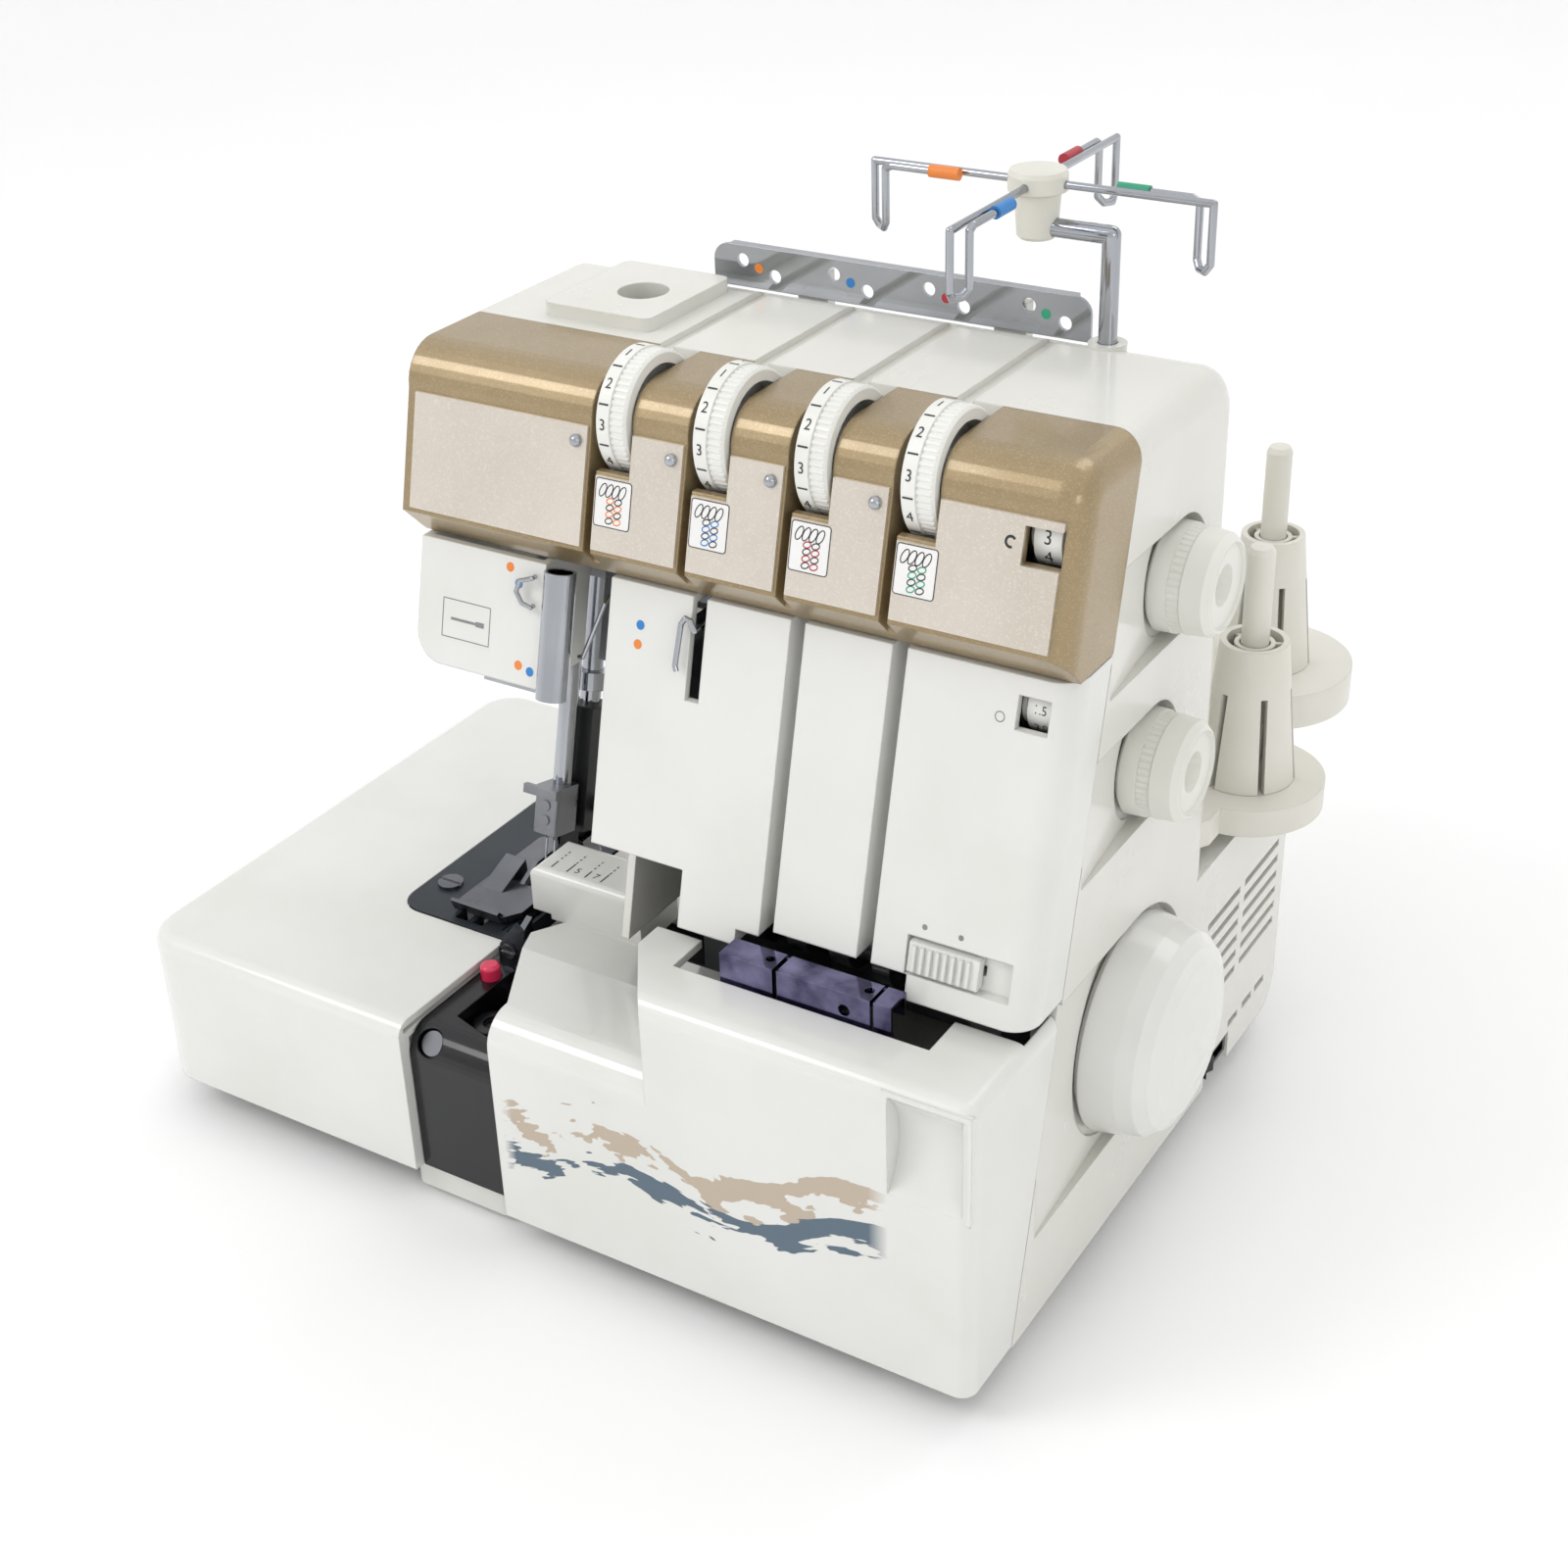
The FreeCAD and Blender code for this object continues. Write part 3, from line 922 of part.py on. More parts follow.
def spool_cone(k):
    x, y = SPINDLES[k]
    z = STAND_TOP + 0.1
    shell = revolve_z([(12.6, 0), (15.2, 0), (10.4, 46.0), (8.4, 46.0)], x, y, z)
    hub = rod_z(z + 20, z + 45, x, y, 6.2)
    spokes = [box(x + 5, x + 10.5, y - 0.8, y + 0.8, z + 22, z + 44.4) for _ in range(3)]
    for n, spoke in enumerate(spokes):
        spoke.rotate(vec(x, y, z), vec(0, 0, 1), 30 + 120 * n)
    cone = join([shell, hub] + spokes).cut(rod_z(z - 1, z + 50, x, y, 4.7))
    slots = []
    for n in range(6):
        slot = box(x + 9, x + 18, y - 1.0, y + 1.0, z - 1, z + 31)
        slot.rotate(vec(x, y, z), vec(0, 0, 1), 60 * n + 10)
        slots.append(slot)
    return cone.cut(join(slots))


def screws():
    """Needle-plate screw, the two lower-knife screws and the knife housing's screw."""
    plate_screw = rod_z(BED_TOP + 0.3, BED_TOP + 1.4, -89.3, -75.8, 4.2)
    heads = [plate_screw.cut(box(-94, -84, -76.4, -75.2, BED_TOP + 0.8, 70))]
    for x, z in ((-48.0, 67.6), (-47.2, 58.6)):
        heads.append(rod_y(-99.2, -97.5, x, z, 2.6).cut(box(x - 3, x + 3, -99.6, -98.6, z - 0.4,
                                                            z + 0.4)))
    slope = vec(0, -0.78, 0.62)
    centre = vec(-46.0, FRONT + 13.5, 54.6)
    head = Part.makeCylinder(3.9, 2.2, centre + slope * 5.0, slope)
    heads.append(head)
    return group(heads)


SINGLE = {
    "rear_casing": rear_casing, "tension_panel": tension_panel, "fascia_plates": fascia_plates,
    "front_cover": front_cover, "face_plate": face_plate, "looper_cover": looper_cover, "cover_pins": cover_pins,
    "side_cover": side_cover, "knife_housing": knife_housing, "base_pan": base_pan, "rubber_feet": rubber_feet,
    "cast_frame": cast_frame, "main_shaft": main_shaft, "shaft_bushes": shaft_bushes, "handwheel": handwheel,
    "motor": motor, "motor_pulley": motor_pulley, "needle_plate": needle_plate,
    "feed_dogs": feed_dogs, "needle_bar": needle_bar, "needle_clamp": needle_clamp, "needles": needles,
    "presser_bar": presser_bar, "foot_holder": foot_holder, "presser_foot": presser_foot,
    "presser_leaf": presser_leaf, "pressure_screw": pressure_screw, "presser_lifter": presser_lifter,
    "upper_looper": upper_looper, "lower_looper": lower_looper, "upper_knife": upper_knife,
    "lower_knife": lower_knife, "knife_release_button": knife_release_button, "knife_knob": knife_knob,
    "tension_units": tension_units, "belts": belts, "hem_slider": hem_slider,
    "power_inlet": power_inlet, "power_switch": power_switch, "looper_thread_guide": looper_thread_guide,
    "top_thread_guide": top_thread_guide, "tree_pole": tree_pole, "tree_hub": tree_hub, "tree_arms": tree_arms,
    "arm_sleeves": arm_sleeves, "head_thread_guides": head_thread_guides, "spool_stand": spool_stand,
    "screws": screws,
}

for name, make in SINGLE.items():
    save(name, make())
for k, name in enumerate(["left_needle", "right_needle", "upper_looper", "lower_looper"]):
    save("tension_dial_" + name, tension_dial(k))
for k, name in enumerate(["front_right", "front_left", "rear_right", "rear_left"]):
    save("spool_cone_" + name, spool_cone(k))
save("stitch_length_knob", side_knob(STITCH_Y, STITCH_Z))
save("differential_knob", side_knob(DIFF_Y, DIFF_Z))
save("stitch_length_drum", number_drum(*DRUM_STITCH, 9.0))
save("differential_drum", number_drum(*DRUM_DIFF, 7.5))
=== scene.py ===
"""Looks of a four-thread home overlocker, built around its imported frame.

The machine is moulded ABS in gloss off-white with a champagne lacquered tension panel, satin dials, a chrome
thread path and a dark coated needle plate.  Every size is in metres, in the frame's own axes.
"""
import logging
import math
from dataclasses import dataclass, field
from enum import Enum
from typing import Any, Callable, Sequence

import bpy
import numpy as np
from mathutils import Matrix, Vector


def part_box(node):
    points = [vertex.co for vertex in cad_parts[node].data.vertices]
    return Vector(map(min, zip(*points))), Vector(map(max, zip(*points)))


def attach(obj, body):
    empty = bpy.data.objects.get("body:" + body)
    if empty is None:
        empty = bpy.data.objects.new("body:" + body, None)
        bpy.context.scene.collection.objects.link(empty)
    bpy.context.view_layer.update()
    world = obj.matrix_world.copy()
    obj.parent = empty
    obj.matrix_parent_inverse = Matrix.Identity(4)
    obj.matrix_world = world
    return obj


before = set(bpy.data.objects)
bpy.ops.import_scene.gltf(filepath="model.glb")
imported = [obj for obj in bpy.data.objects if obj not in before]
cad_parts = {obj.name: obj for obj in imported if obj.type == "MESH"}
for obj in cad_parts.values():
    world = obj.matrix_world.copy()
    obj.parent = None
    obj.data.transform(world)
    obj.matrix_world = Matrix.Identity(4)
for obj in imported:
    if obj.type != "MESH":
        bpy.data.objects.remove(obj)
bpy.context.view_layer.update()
log = logging.getLogger("overlocker")

MM = 0.001
LEAN = 0.2554            # how far the front panels lean back for each unit of height
GOLD_Y = -155.8 * MM     # where the tension panel's plane meets the bench
STRIP_Y = -145.8 * MM    # the same for the white front cover
FACE_Y = -147.8 * MM     # the same for the face plate
FRONT_Y = -148.0 * MM    # front of the looper cover
DIAL_PITCH = 30.9 * MM
SLOT_FIRST = -4.3 * MM
FASCIA = 0.8 * MM        # thickness of the pearl plates over the tension panel
PROUD = 0.05 * MM        # how far printed marks stand off the surface they lie on
PATCH_LOW, PATCH_HIGH = 0.3, 0.7       # what soft noise mostly keeps within
BLEND_LOW, BLEND_HIGH = 0.35, 0.65     # a narrower share of it, for firmer colour patches
ROUND_SIDES = 28         # corners round a printed dot or ring
TINY = 1e-12             # keeps a stroke of no length from dividing by zero

Place = Callable[[np.ndarray, np.ndarray], np.ndarray]


class Thread(Enum):
    """The four thread paths and the colour that marks each one."""

    LEFT_NEEDLE = "#E8863A"
    RIGHT_NEEDLE = "#2F7FC4"
    UPPER_LOOPER = "#B02C3C"
    LOWER_LOOPER = "#2FA07A"


THREADS = list(Thread)
DIAL_NODES = ["tension_dial_left_needle", "tension_dial_right_needle", "tension_dial_upper_looper",
              "tension_dial_lower_looper"]


def linear(colour: str) -> tuple[float, float, float, float]:
    """Turn an sRGB hex colour into linear values.

    Args:
        colour: text such as "#RRGGBB".

    Returns:
        Linear red, green, blue and an alpha of 1.
    """
    parts = np.array([int(colour[i:i + 2], 16) / 255.0 for i in (1, 3, 5)])
    low = parts / 12.92
    high = ((parts + 0.055) / 1.055) ** 2.4
    red, green, blue = np.where(parts <= 0.04045, low, high)
    return float(red), float(green), float(blue), 1.0


def add_node(tree: bpy.types.NodeTree, kind: str, settings: dict[Any, Any] | None = None,
             links: dict[Any, bpy.types.NodeSocket] | None = None) -> bpy.types.Node:
    """Add one shader node, set its values and link its inputs.

    Args:
        tree: the material's node tree.
        kind: the node's type name.
        settings: values for inputs (by name or number) or for the node's own properties.
        links: sockets to link into inputs (by name or number).

    Returns:
        The new node.
    """
    node = tree.nodes.new(kind)
    for key, value in (settings or {}).items():
        if isinstance(key, int) or key in node.inputs:
            node.inputs[key].default_value = value
        else:
            setattr(node, key, value)
    for key, socket in (links or {}).items():
        tree.links.new(socket, node.inputs[key])
    return node


# ---- finishes -----------------------------------------------------------
@dataclass(frozen=True)
class Finish:
    """A surface with fine texture: moulded plastic, paint, rubber or ground metal.

    The base colour drifts a little towards `drift` in soft patches, and roughness varies by `spread` in finer
    ones.  A grain of `grain` metres lifts the surface by `relief` metres, and `stretch` draws that grain out
    along X, Y and Z, as brushing or grinding does.
    """

    name: str
    colour: str
    drift: str
    roughness: float = 0.3
    spread: float = 0.06
    metallic: float = 0.0
    ior: float = 1.5
    grain: float = 0.5 * MM
    relief: float = 0.004 * MM
    patch: float = 30.0 * MM
    stretch: tuple[float, float, float] = (1.0, 1.0, 1.0)
    coat: float = 0.0
    coat_roughness: float = 0.08
    edge_round: float = 0.0

    def build(self) -> bpy.types.Material:
        """Build the material, or hand back the one already made.

        Returns:
            The finished material.
        """
        known = bpy.data.materials.get(self.name)
        if known is not None:
            return known
        material = bpy.data.materials.new(self.name)
        material.use_nodes = True
        tree = material.node_tree
        tree.nodes.clear()
        place = add_node(tree, "ShaderNodeTexCoord").outputs["Object"]
        colour = self.colour_of(tree, place)
        patches = add_node(tree, "ShaderNodeTexNoise", {"Scale": 1.0 / self.patch, "Detail": 3.0},
                           {"Vector": place})
        rough = add_node(tree, "ShaderNodeMapRange", {"From Min": PATCH_LOW, "From Max": PATCH_HIGH,
                                                      "To Min": max(0.02, self.roughness - self.spread),
                                                      "To Max": self.roughness + self.spread},
                         {"Value": patches.outputs["Fac"]}).outputs["Result"]
        shader = add_node(tree, "ShaderNodeBsdfPrincipled",
                          {"Metallic": self.metallic, "IOR": self.ior, "Coat Weight": self.coat,
                           "Coat Roughness": self.coat_roughness},
                          {"Base Color": colour, "Roughness": rough,
                           "Normal": self.normal_of(tree, place)})
        add_node(tree, "ShaderNodeOutputMaterial", links={"Surface": shader.outputs["BSDF"]})
        return material

    def colour_of(self, tree: bpy.types.NodeTree, place: bpy.types.NodeSocket) -> bpy.types.NodeSocket:
        """Mix the base colour and its drift in soft patches.

        Args:
            tree: the material's node tree.
            place: Object coordinates.

        Returns:
            The colour socket.
        """
        noise = add_node(tree, "ShaderNodeTexNoise", {"Scale": 0.6 / self.patch, "Detail": 4.0},
                         {"Vector": place})
        soft = add_node(tree, "ShaderNodeMapRange", {"From Min": BLEND_LOW, "From Max": BLEND_HIGH},
                        {"Value": noise.outputs["Fac"]})
        mix = add_node(tree, "ShaderNodeMix",
                       {"data_type": "RGBA", 6: linear(self.colour), 7: linear(self.drift)},
                       {0: soft.outputs["Result"]})
        return mix.outputs[2]

    def normal_of(self, tree: bpy.types.NodeTree, place: bpy.types.NodeSocket) -> bpy.types.NodeSocket:
        """Lift the surface by the fine grain, with softened edges where asked.

        Args:
            tree: the material's node tree.
            place: Object coordinates.

        Returns:
            The normal socket.
        """
        turned = add_node(tree, "ShaderNodeMapping", {"Scale": self.stretch}, {"Vector": place})
        grain = add_node(tree, "ShaderNodeTexNoise", {"Scale": 1.0 / self.grain, "Detail": 2.0},
                         {"Vector": turned.outputs["Vector"]})
        links = {"Height": grain.outputs["Fac"]}
        if self.edge_round > 0:
            bevel = add_node(tree, "ShaderNodeBevel", {"samples": 4, "Radius": self.edge_round})
            links["Normal"] = bevel.outputs["Normal"]
        bump = add_node(tree, "ShaderNodeBump", {"Strength": 1.0, "Distance": self.relief}, links)
        return bump.outputs["Normal"]


@dataclass(frozen=True)
class FlakeLacquer(Finish):
    """Metallic lacquer on moulded plastic: tiny bright flakes under a clear coat."""

    flake: str = "#FFFFFF"
    flake_size: float = 0.5 * MM
    flake_share: float = 0.35     # how many cells hold a flake
    flake_cover: float = 0.5      # how strongly the brightest flake hides the base

    def colour_of(self, tree: bpy.types.NodeTree, place: bpy.types.NodeSocket) -> bpy.types.NodeSocket:
        """Scatter brighter flakes over the base colour.

        Args:
            tree: the material's node tree.
            place: Object coordinates.

        Returns:
            The colour socket.
        """
        cells = add_node(tree, "ShaderNodeTexVoronoi", {"Scale": 1.0 / self.flake_size}, {"Vector": place})
        level = add_node(tree, "ShaderNodeSeparateColor", links={"Color": cells.outputs["Color"]})
        share = add_node(tree, "ShaderNodeMapRange", {"From Min": 1.0 - self.flake_share, "From Max": 1.0,
                                                      "To Min": 0.0, "To Max": self.flake_cover},
                         {"Value": level.outputs["Red"]})
        mix = add_node(tree, "ShaderNodeMix", {"data_type": "RGBA", 7: linear(self.flake)},
                       {0: share.outputs["Result"], 6: super().colour_of(tree, place)})
        return mix.outputs[2]


@dataclass(frozen=True)
class Strokes:
    """One printed band: its ink, height at X = 0, half width, noise scale per metre and noise threshold."""

    ink: str
    height: float
    half: float
    scale: tuple[float, float, float]
    level: float


@dataclass(frozen=True)
class PrintedCover(Finish):
    """Gloss ABS with a two-colour brush-stroke print across its front."""

    bands: tuple[Strokes, ...] = (Strokes("#B9AA97", 49.0 * MM, 13.0 * MM, (42.0, 1.0, 95.0), 0.49),
                                  Strokes("#4A6070", 38.0 * MM, 9.0 * MM, (30.0, 7.0, 120.0), 0.47))
    skin: float = 0.35 * MM       # depth of the front face that takes ink
    climb: float = 0.12           # rise of a band for each unit to the right
    waves: float = 70.0           # radians of sway for each metre to the right
    sway: float = 4.0 * MM        # height of that sway
    full: float = 0.2             # share of the half width that is printed solidly
    gone: float = 1.6             # share of it beyond which hardly any stroke is left
    bare: float = 0.78            # noise threshold out there
    edge: float = 0.012           # softness of a stroke's edge, in noise
    tilt: float = 0.32            # turn of the noise, in radians
    ends: tuple[tuple[float, float], ...] = ((-15.0 * MM, 4.0 * MM), (116.0 * MM, -6.0 * MM))

    def colour_of(self, tree: bpy.types.NodeTree, place: bpy.types.NodeSocket) -> bpy.types.NodeSocket:
        """Lay sand-coloured and slate strokes on the front face only.

        Each band follows a line that climbs gently to the right; noise drawn out along that line breaks the
        band into strokes, and its strength falls off above and below the line.

        Args:
            tree: the material's node tree.
            place: Object coordinates.

        Returns:
            The colour socket.
        """
        base = super().colour_of(tree, place)
        split = add_node(tree, "ShaderNodeSeparateXYZ", links={"Vector": place})
        on_front = add_node(tree, "ShaderNodeMath", {"operation": "LESS_THAN", 1: FRONT_Y + self.skin},
                            {0: split.outputs["Y"]}).outputs[0]
        for band in self.bands:
            mask = self.mask(tree, split, band)
            cover = add_node(tree, "ShaderNodeMath", {"operation": "MULTIPLY"}, {0: mask, 1: on_front})
            base = add_node(tree, "ShaderNodeMix", {"data_type": "RGBA", 7: linear(band.ink)},
                            {0: cover.outputs[0], 6: base}).outputs[2]
        return base

    def mask(self, tree: bpy.types.NodeTree, split: bpy.types.Node, band: Strokes) -> bpy.types.NodeSocket:
        """One band of strokes: noise over a threshold that rises with distance from the band's line.

        Args:
            tree: the material's node tree.
            split: the separated Object coordinates.
            band: the band's line, width and noise.

        Returns:
            A mask socket, 0 or 1 with a soft edge.
        """
        x, z = split.outputs["X"], split.outputs["Z"]
        climb = add_node(tree, "ShaderNodeMath", {"operation": "MULTIPLY", 1: self.climb}, {0: x}).outputs[0]
        wave = add_node(tree, "ShaderNodeMath", {"operation": "MULTIPLY", 1: self.waves}, {0: x}).outputs[0]
        sway = add_node(tree, "ShaderNodeMath", {"operation": "SINE"}, {0: wave}).outputs[0]
        rise = add_node(tree, "ShaderNodeMath", {"operation": "MULTIPLY_ADD", 1: self.sway},
                        {0: sway, 2: climb}).outputs[0]
        above = add_node(tree, "ShaderNodeMath", {"operation": "SUBTRACT"}, {0: z, 1: rise}).outputs[0]
        off = add_node(tree, "ShaderNodeMath", {"operation": "SUBTRACT", 1: band.height},
                       {0: above}).outputs[0]
        far = add_node(tree, "ShaderNodeMath", {"operation": "ABSOLUTE"}, {0: off}).outputs[0]
        lift = add_node(tree, "ShaderNodeMapRange",
                        {"From Min": self.full * band.half, "From Max": self.gone * band.half,
                         "To Min": band.level, "To Max": self.bare}, {"Value": far}).outputs["Result"]
        spot = add_node(tree, "ShaderNodeCombineXYZ", links={"X": x, "Z": above}).outputs["Vector"]
        drawn = add_node(tree, "ShaderNodeMapping", {"Scale": band.scale, "Rotation": (0.0, self.tilt, 0.0)},
                         {"Vector": spot})
        noise = add_node(tree, "ShaderNodeTexNoise", {"Scale": 1.0, "Detail": 3.5, "Roughness": 0.6},
                         {"Vector": drawn.outputs["Vector"]}).outputs["Fac"]
        over = add_node(tree, "ShaderNodeMath", {"operation": "SUBTRACT"}, {0: noise, 1: lift}).outputs[0]
        result = add_node(tree, "ShaderNodeMapRange", {"From Min": 0.0, "From Max": self.edge},
                          {"Value": over}).outputs["Result"]
        inside = [add_node(tree, "ShaderNodeMapRange", {"From Min": end, "From Max": end + width},
                           {"Value": x}).outputs["Result"] for end, width in self.ends]
        both = add_node(tree, "ShaderNodeMath", {"operation": "MULTIPLY"}, {0: inside[0], 1: inside[1]})
        return add_node(tree, "ShaderNodeMath", {"operation": "MULTIPLY"},
                        {0: result, 1: both.outputs[0]}).outputs[0]


@dataclass(frozen=True)
class FourColours(Finish):
    """Dipped sleeves: each quarter round the hub takes its own thread colour."""

    centre: tuple[float, float] = (83.8 * MM, -4.7 * MM)
    reach: float = 12 * MM        # a sleeve this far to one side of the hub takes that side's colour

    def colour_of(self, tree: bpy.types.NodeTree, place: bpy.types.NodeSocket) -> bpy.types.NodeSocket:
        """Choose the colour from which side of the hub a sleeve lies on.

        Args:
            tree: the material's node tree.
            place: Object coordinates.

        Returns:
            The colour socket.
        """
        split = add_node(tree, "ShaderNodeSeparateXYZ", links={"Vector": place})
        x, y = self.centre
        tests = [("X", "LESS_THAN", x - self.reach, THREADS[0]),
                 ("Y", "LESS_THAN", y - self.reach, THREADS[1]),
                 ("Y", "GREATER_THAN", y + self.reach, THREADS[2])]
        colour = super().colour_of(tree, place)
        for axis, operation, limit, thread in tests:
            side = add_node(tree, "ShaderNodeMath", {"operation": operation, 1: limit},
                            {0: split.outputs[axis]})
            colour = add_node(tree, "ShaderNodeMix", {"data_type": "RGBA", 7: linear(thread.value)},
                              {0: side.outputs[0], 6: colour}).outputs[2]
        return colour


# Injection-moulded ABS: an even gloss with a faint orange peel from the polished mould.
COVER_ABS = Finish("gloss_abs_off_white", "#E1E1DE", "#DCDCD7", 0.20, 0.04, grain=2.5 * MM, relief=0.010 * MM,
                   coat=0.35, edge_round=0.7 * MM)
SIDE_ABS = Finish("gloss_abs_casing", "#DEDDD7", "#D9D8D0", 0.24, 0.05, grain=2.5 * MM, relief=0.010 * MM,
                  coat=0.30, edge_round=0.7 * MM)
PRINTED_ABS = PrintedCover("gloss_abs_printed", "#E1E1DE", "#DCDCD7", 0.20, 0.04, grain=2.5 * MM,
                           relief=0.010 * MM, coat=0.35, edge_round=0.7 * MM)
# Champagne metallic lacquer: aluminium flake under clear coat, drawn coarser than life so that it shows.
CHAMPAGNE = FlakeLacquer("champagne_metallic_lacquer", "#A08C69", "#978360", 0.34, 0.05, metallic=0.45,
                         grain=0.6 * MM, relief=0.003 * MM, coat=0.5, edge_round=0.9 * MM, flake="#B8A582",
                         flake_size=0.35 * MM)
# Mica lacquer: paler and softer than the champagne, so that the plates read as a second layer.
PEARL = FlakeLacquer("pearl_mica_lacquer", "#CEC5B8", "#D8D0C5", 0.30, 0.05, metallic=0.45, grain=0.5 * MM,
                     relief=0.003 * MM, coat=0.4, flake="#E4DDD2", flake_size=0.45 * MM)
# Satin ABS from a lightly etched mould: broad soft highlights.
DIAL_ABS = Finish("satin_abs_dial", "#EAEAE6", "#E3E3DD", 0.38, 0.05, grain=0.35 * MM, relief=0.006 * MM,
                  edge_round=0.3 * MM)
KNOB_ABS = Finish("satin_abs_knob", "#E6E5DE", "#DFDED6", 0.34, 0.05, grain=0.5 * MM, relief=0.006 * MM,
                  edge_round=0.4 * MM)
SPOOL_ABS = Finish("satin_abs_warm_white", "#E1DFD6", "#D9D7CC", 0.40, 0.05, grain=0.5 * MM,
                   relief=0.008 * MM, edge_round=0.5 * MM)
# Unpolished moulding underneath: an even matt grain.
PAN_ABS = Finish("textured_abs_pan", "#D9D9D4", "#CFCFC8", 0.50, 0.06, grain=0.8 * MM, relief=0.03 * MM)
# Polished black ABS round the knife: near black with a clean highlight.
BLACK_ABS = Finish("gloss_abs_black", "#08080C", "#0D0D13", 0.20, 0.04, grain=3.0 * MM, relief=0.008 * MM,
                   edge_round=0.6 * MM)
# Pigmented ABS: the one strong colour near the needle.
RED_ABS = Finish("gloss_abs_signal_red", "#E0305A", "#D82A50", 0.22, 0.04, grain=1.5 * MM, relief=0.006 * MM,
                 coat=0.3, edge_round=0.4 * MM)
# Dark conversion coat over a stamped steel plate: satin with a fine cast of grit.
PLATE_COAT = Finish("satin_grey_coated_steel", "#43484D", "#383D42", 0.36, 0.07, metallic=0.65,
                    grain=0.25 * MM, relief=0.006 * MM, edge_round=0.2 * MM)
# Ground steel: scratches drawn out along the stroke.
GROUND_STEEL = Finish("ground_steel", "#8A8C90", "#707277", 0.28, 0.08, metallic=1.0, grain=0.3 * MM,
                      relief=0.004 * MM, stretch=(1.0, 1.0, 0.12), edge_round=0.2 * MM)
# Nickel and chrome over steel: a nearly clean mirror.
CHROME = Finish("bright_chrome_plate", "#B4B7BC", "#A2A5AB", 0.07, 0.03, metallic=1.0, grain=2.0 * MM,
                relief=0.003 * MM, edge_round=0.2 * MM)
# Chrome with painted reflections: the violet colour and the darker small patches it pools into are painted-in
# violet and dark reflections.
CHROME_PAINTED_REFLECTIONS = Finish("chrome_painted_reflections", "#8683A6", "#3C3A56", 0.10, 0.04, metallic=1.0, grain=2.0 * MM,
                       relief=0.004 * MM, patch=7.0 * MM, edge_round=0.2 * MM)
# Sand-grey die casting, as cast and not polished.
DIECAST = Finish("die_cast_aluminium", "#8F9194", "#7C7E81", 0.48, 0.08, metallic=0.9, grain=0.5 * MM,
                 relief=0.03 * MM)
# Oil-filled sintered bronze: warm and slightly porous.
BRONZE = Finish("sintered_bronze", "#A77B3F", "#8E6833", 0.42, 0.06, metallic=1.0, grain=0.3 * MM,
                relief=0.02 * MM)
# Stoved enamel on steel.
BLACK_PAINT = Finish("black_motor_paint", "#17181A", "#1E1F22", 0.42, 0.06, grain=0.5 * MM, relief=0.02 * MM)
# Moulded rubber: matt, with hardly any highlight.
RUBBER = Finish("moulded_rubber", "#191919", "#222222", 0.75, 0.08, grain=0.4 * MM, relief=0.03 * MM)
# Dipped vinyl on wire: a soft sheen.
SLEEVES = FourColours("dipped_vinyl_sleeves", "#2FA07A", "#2B9672", 0.40, 0.05, grain=0.4 * MM,
                      relief=0.01 * MM)
# Pad-printed ink: flat and slightly matt, a hair above the plastic.
BLACK_INK = Finish("black_pad_ink", "#2A2A2C", "#333336", 0.50, 0.05, grain=0.3 * MM, relief=0.002 * MM)
GREY_INK = Finish("grey_pad_ink", "#8B8D90", "#7F8184", 0.50, 0.05, grain=0.3 * MM, relief=0.002 * MM)
TILE_FILM = Finish("white_label_film", "#EDECEA", "#E5E4E2", 0.35, 0.05, grain=0.8 * MM, relief=0.003 * MM)
# Matt background paper.
FLOOR = Finish("white_paper_sweep", "#FAFAFA", "#F8F8F8", 0.75, 0.05, grain=3.0 * MM, relief=0.01 * MM,
               patch=400.0 * MM)


def ink_of(thread: Thread) -> Finish:
    """The printed ink that marks one thread path.

    Args:
        thread: which of the four threads.

    Returns:
        A finish in that thread's colour.
    """
    name = "ink_" + thread.name.lower()
    return Finish(name, thread.value, thread.value, 0.45, 0.05, grain=0.3 * MM, relief=0.002 * MM)


NODE_FINISH: dict[str, Finish] = {
    "rear_casing": SIDE_ABS, "front_cover": COVER_ABS, "face_plate": COVER_ABS, "side_cover": COVER_ABS,
    "looper_cover": PRINTED_ABS, "tension_panel": CHAMPAGNE, "fascia_plates": PEARL, "handwheel": COVER_ABS,
    "stitch_length_knob": KNOB_ABS, "differential_knob": KNOB_ABS, "stitch_length_drum": DIAL_ABS,
    "differential_drum": DIAL_ABS, "hem_slider": COVER_ABS, "knife_housing": BLACK_ABS,
    "knife_knob": BLACK_ABS, "knife_release_button": RED_ABS, "power_inlet": BLACK_ABS,
    "power_switch": BLACK_ABS, "foot_holder": BLACK_PAINT, "needle_plate": PLATE_COAT,
    "lower_knife": PLATE_COAT, "base_pan": PAN_ABS, "rubber_feet": RUBBER, "belts": RUBBER,
    "cast_frame": DIECAST, "shaft_bushes": BRONZE, "motor": BLACK_PAINT, "tree_hub": SPOOL_ABS,
    "spool_stand": SPOOL_ABS, "looper_thread_guide": CHROME_PAINTED_REFLECTIONS, "arm_sleeves": SLEEVES,
}
CHROMED = ["top_thread_guide", "tree_pole", "tree_arms", "head_thread_guides", "needle_bar", "needles",
           "presser_bar", "upper_looper", "lower_looper"]
GROUND = ["main_shaft", "motor_pulley", "feed_dogs", "needle_clamp", "presser_foot", "presser_leaf",
          "pressure_screw", "presser_lifter", "upper_knife", "tension_units", "screws", "cover_pins"]


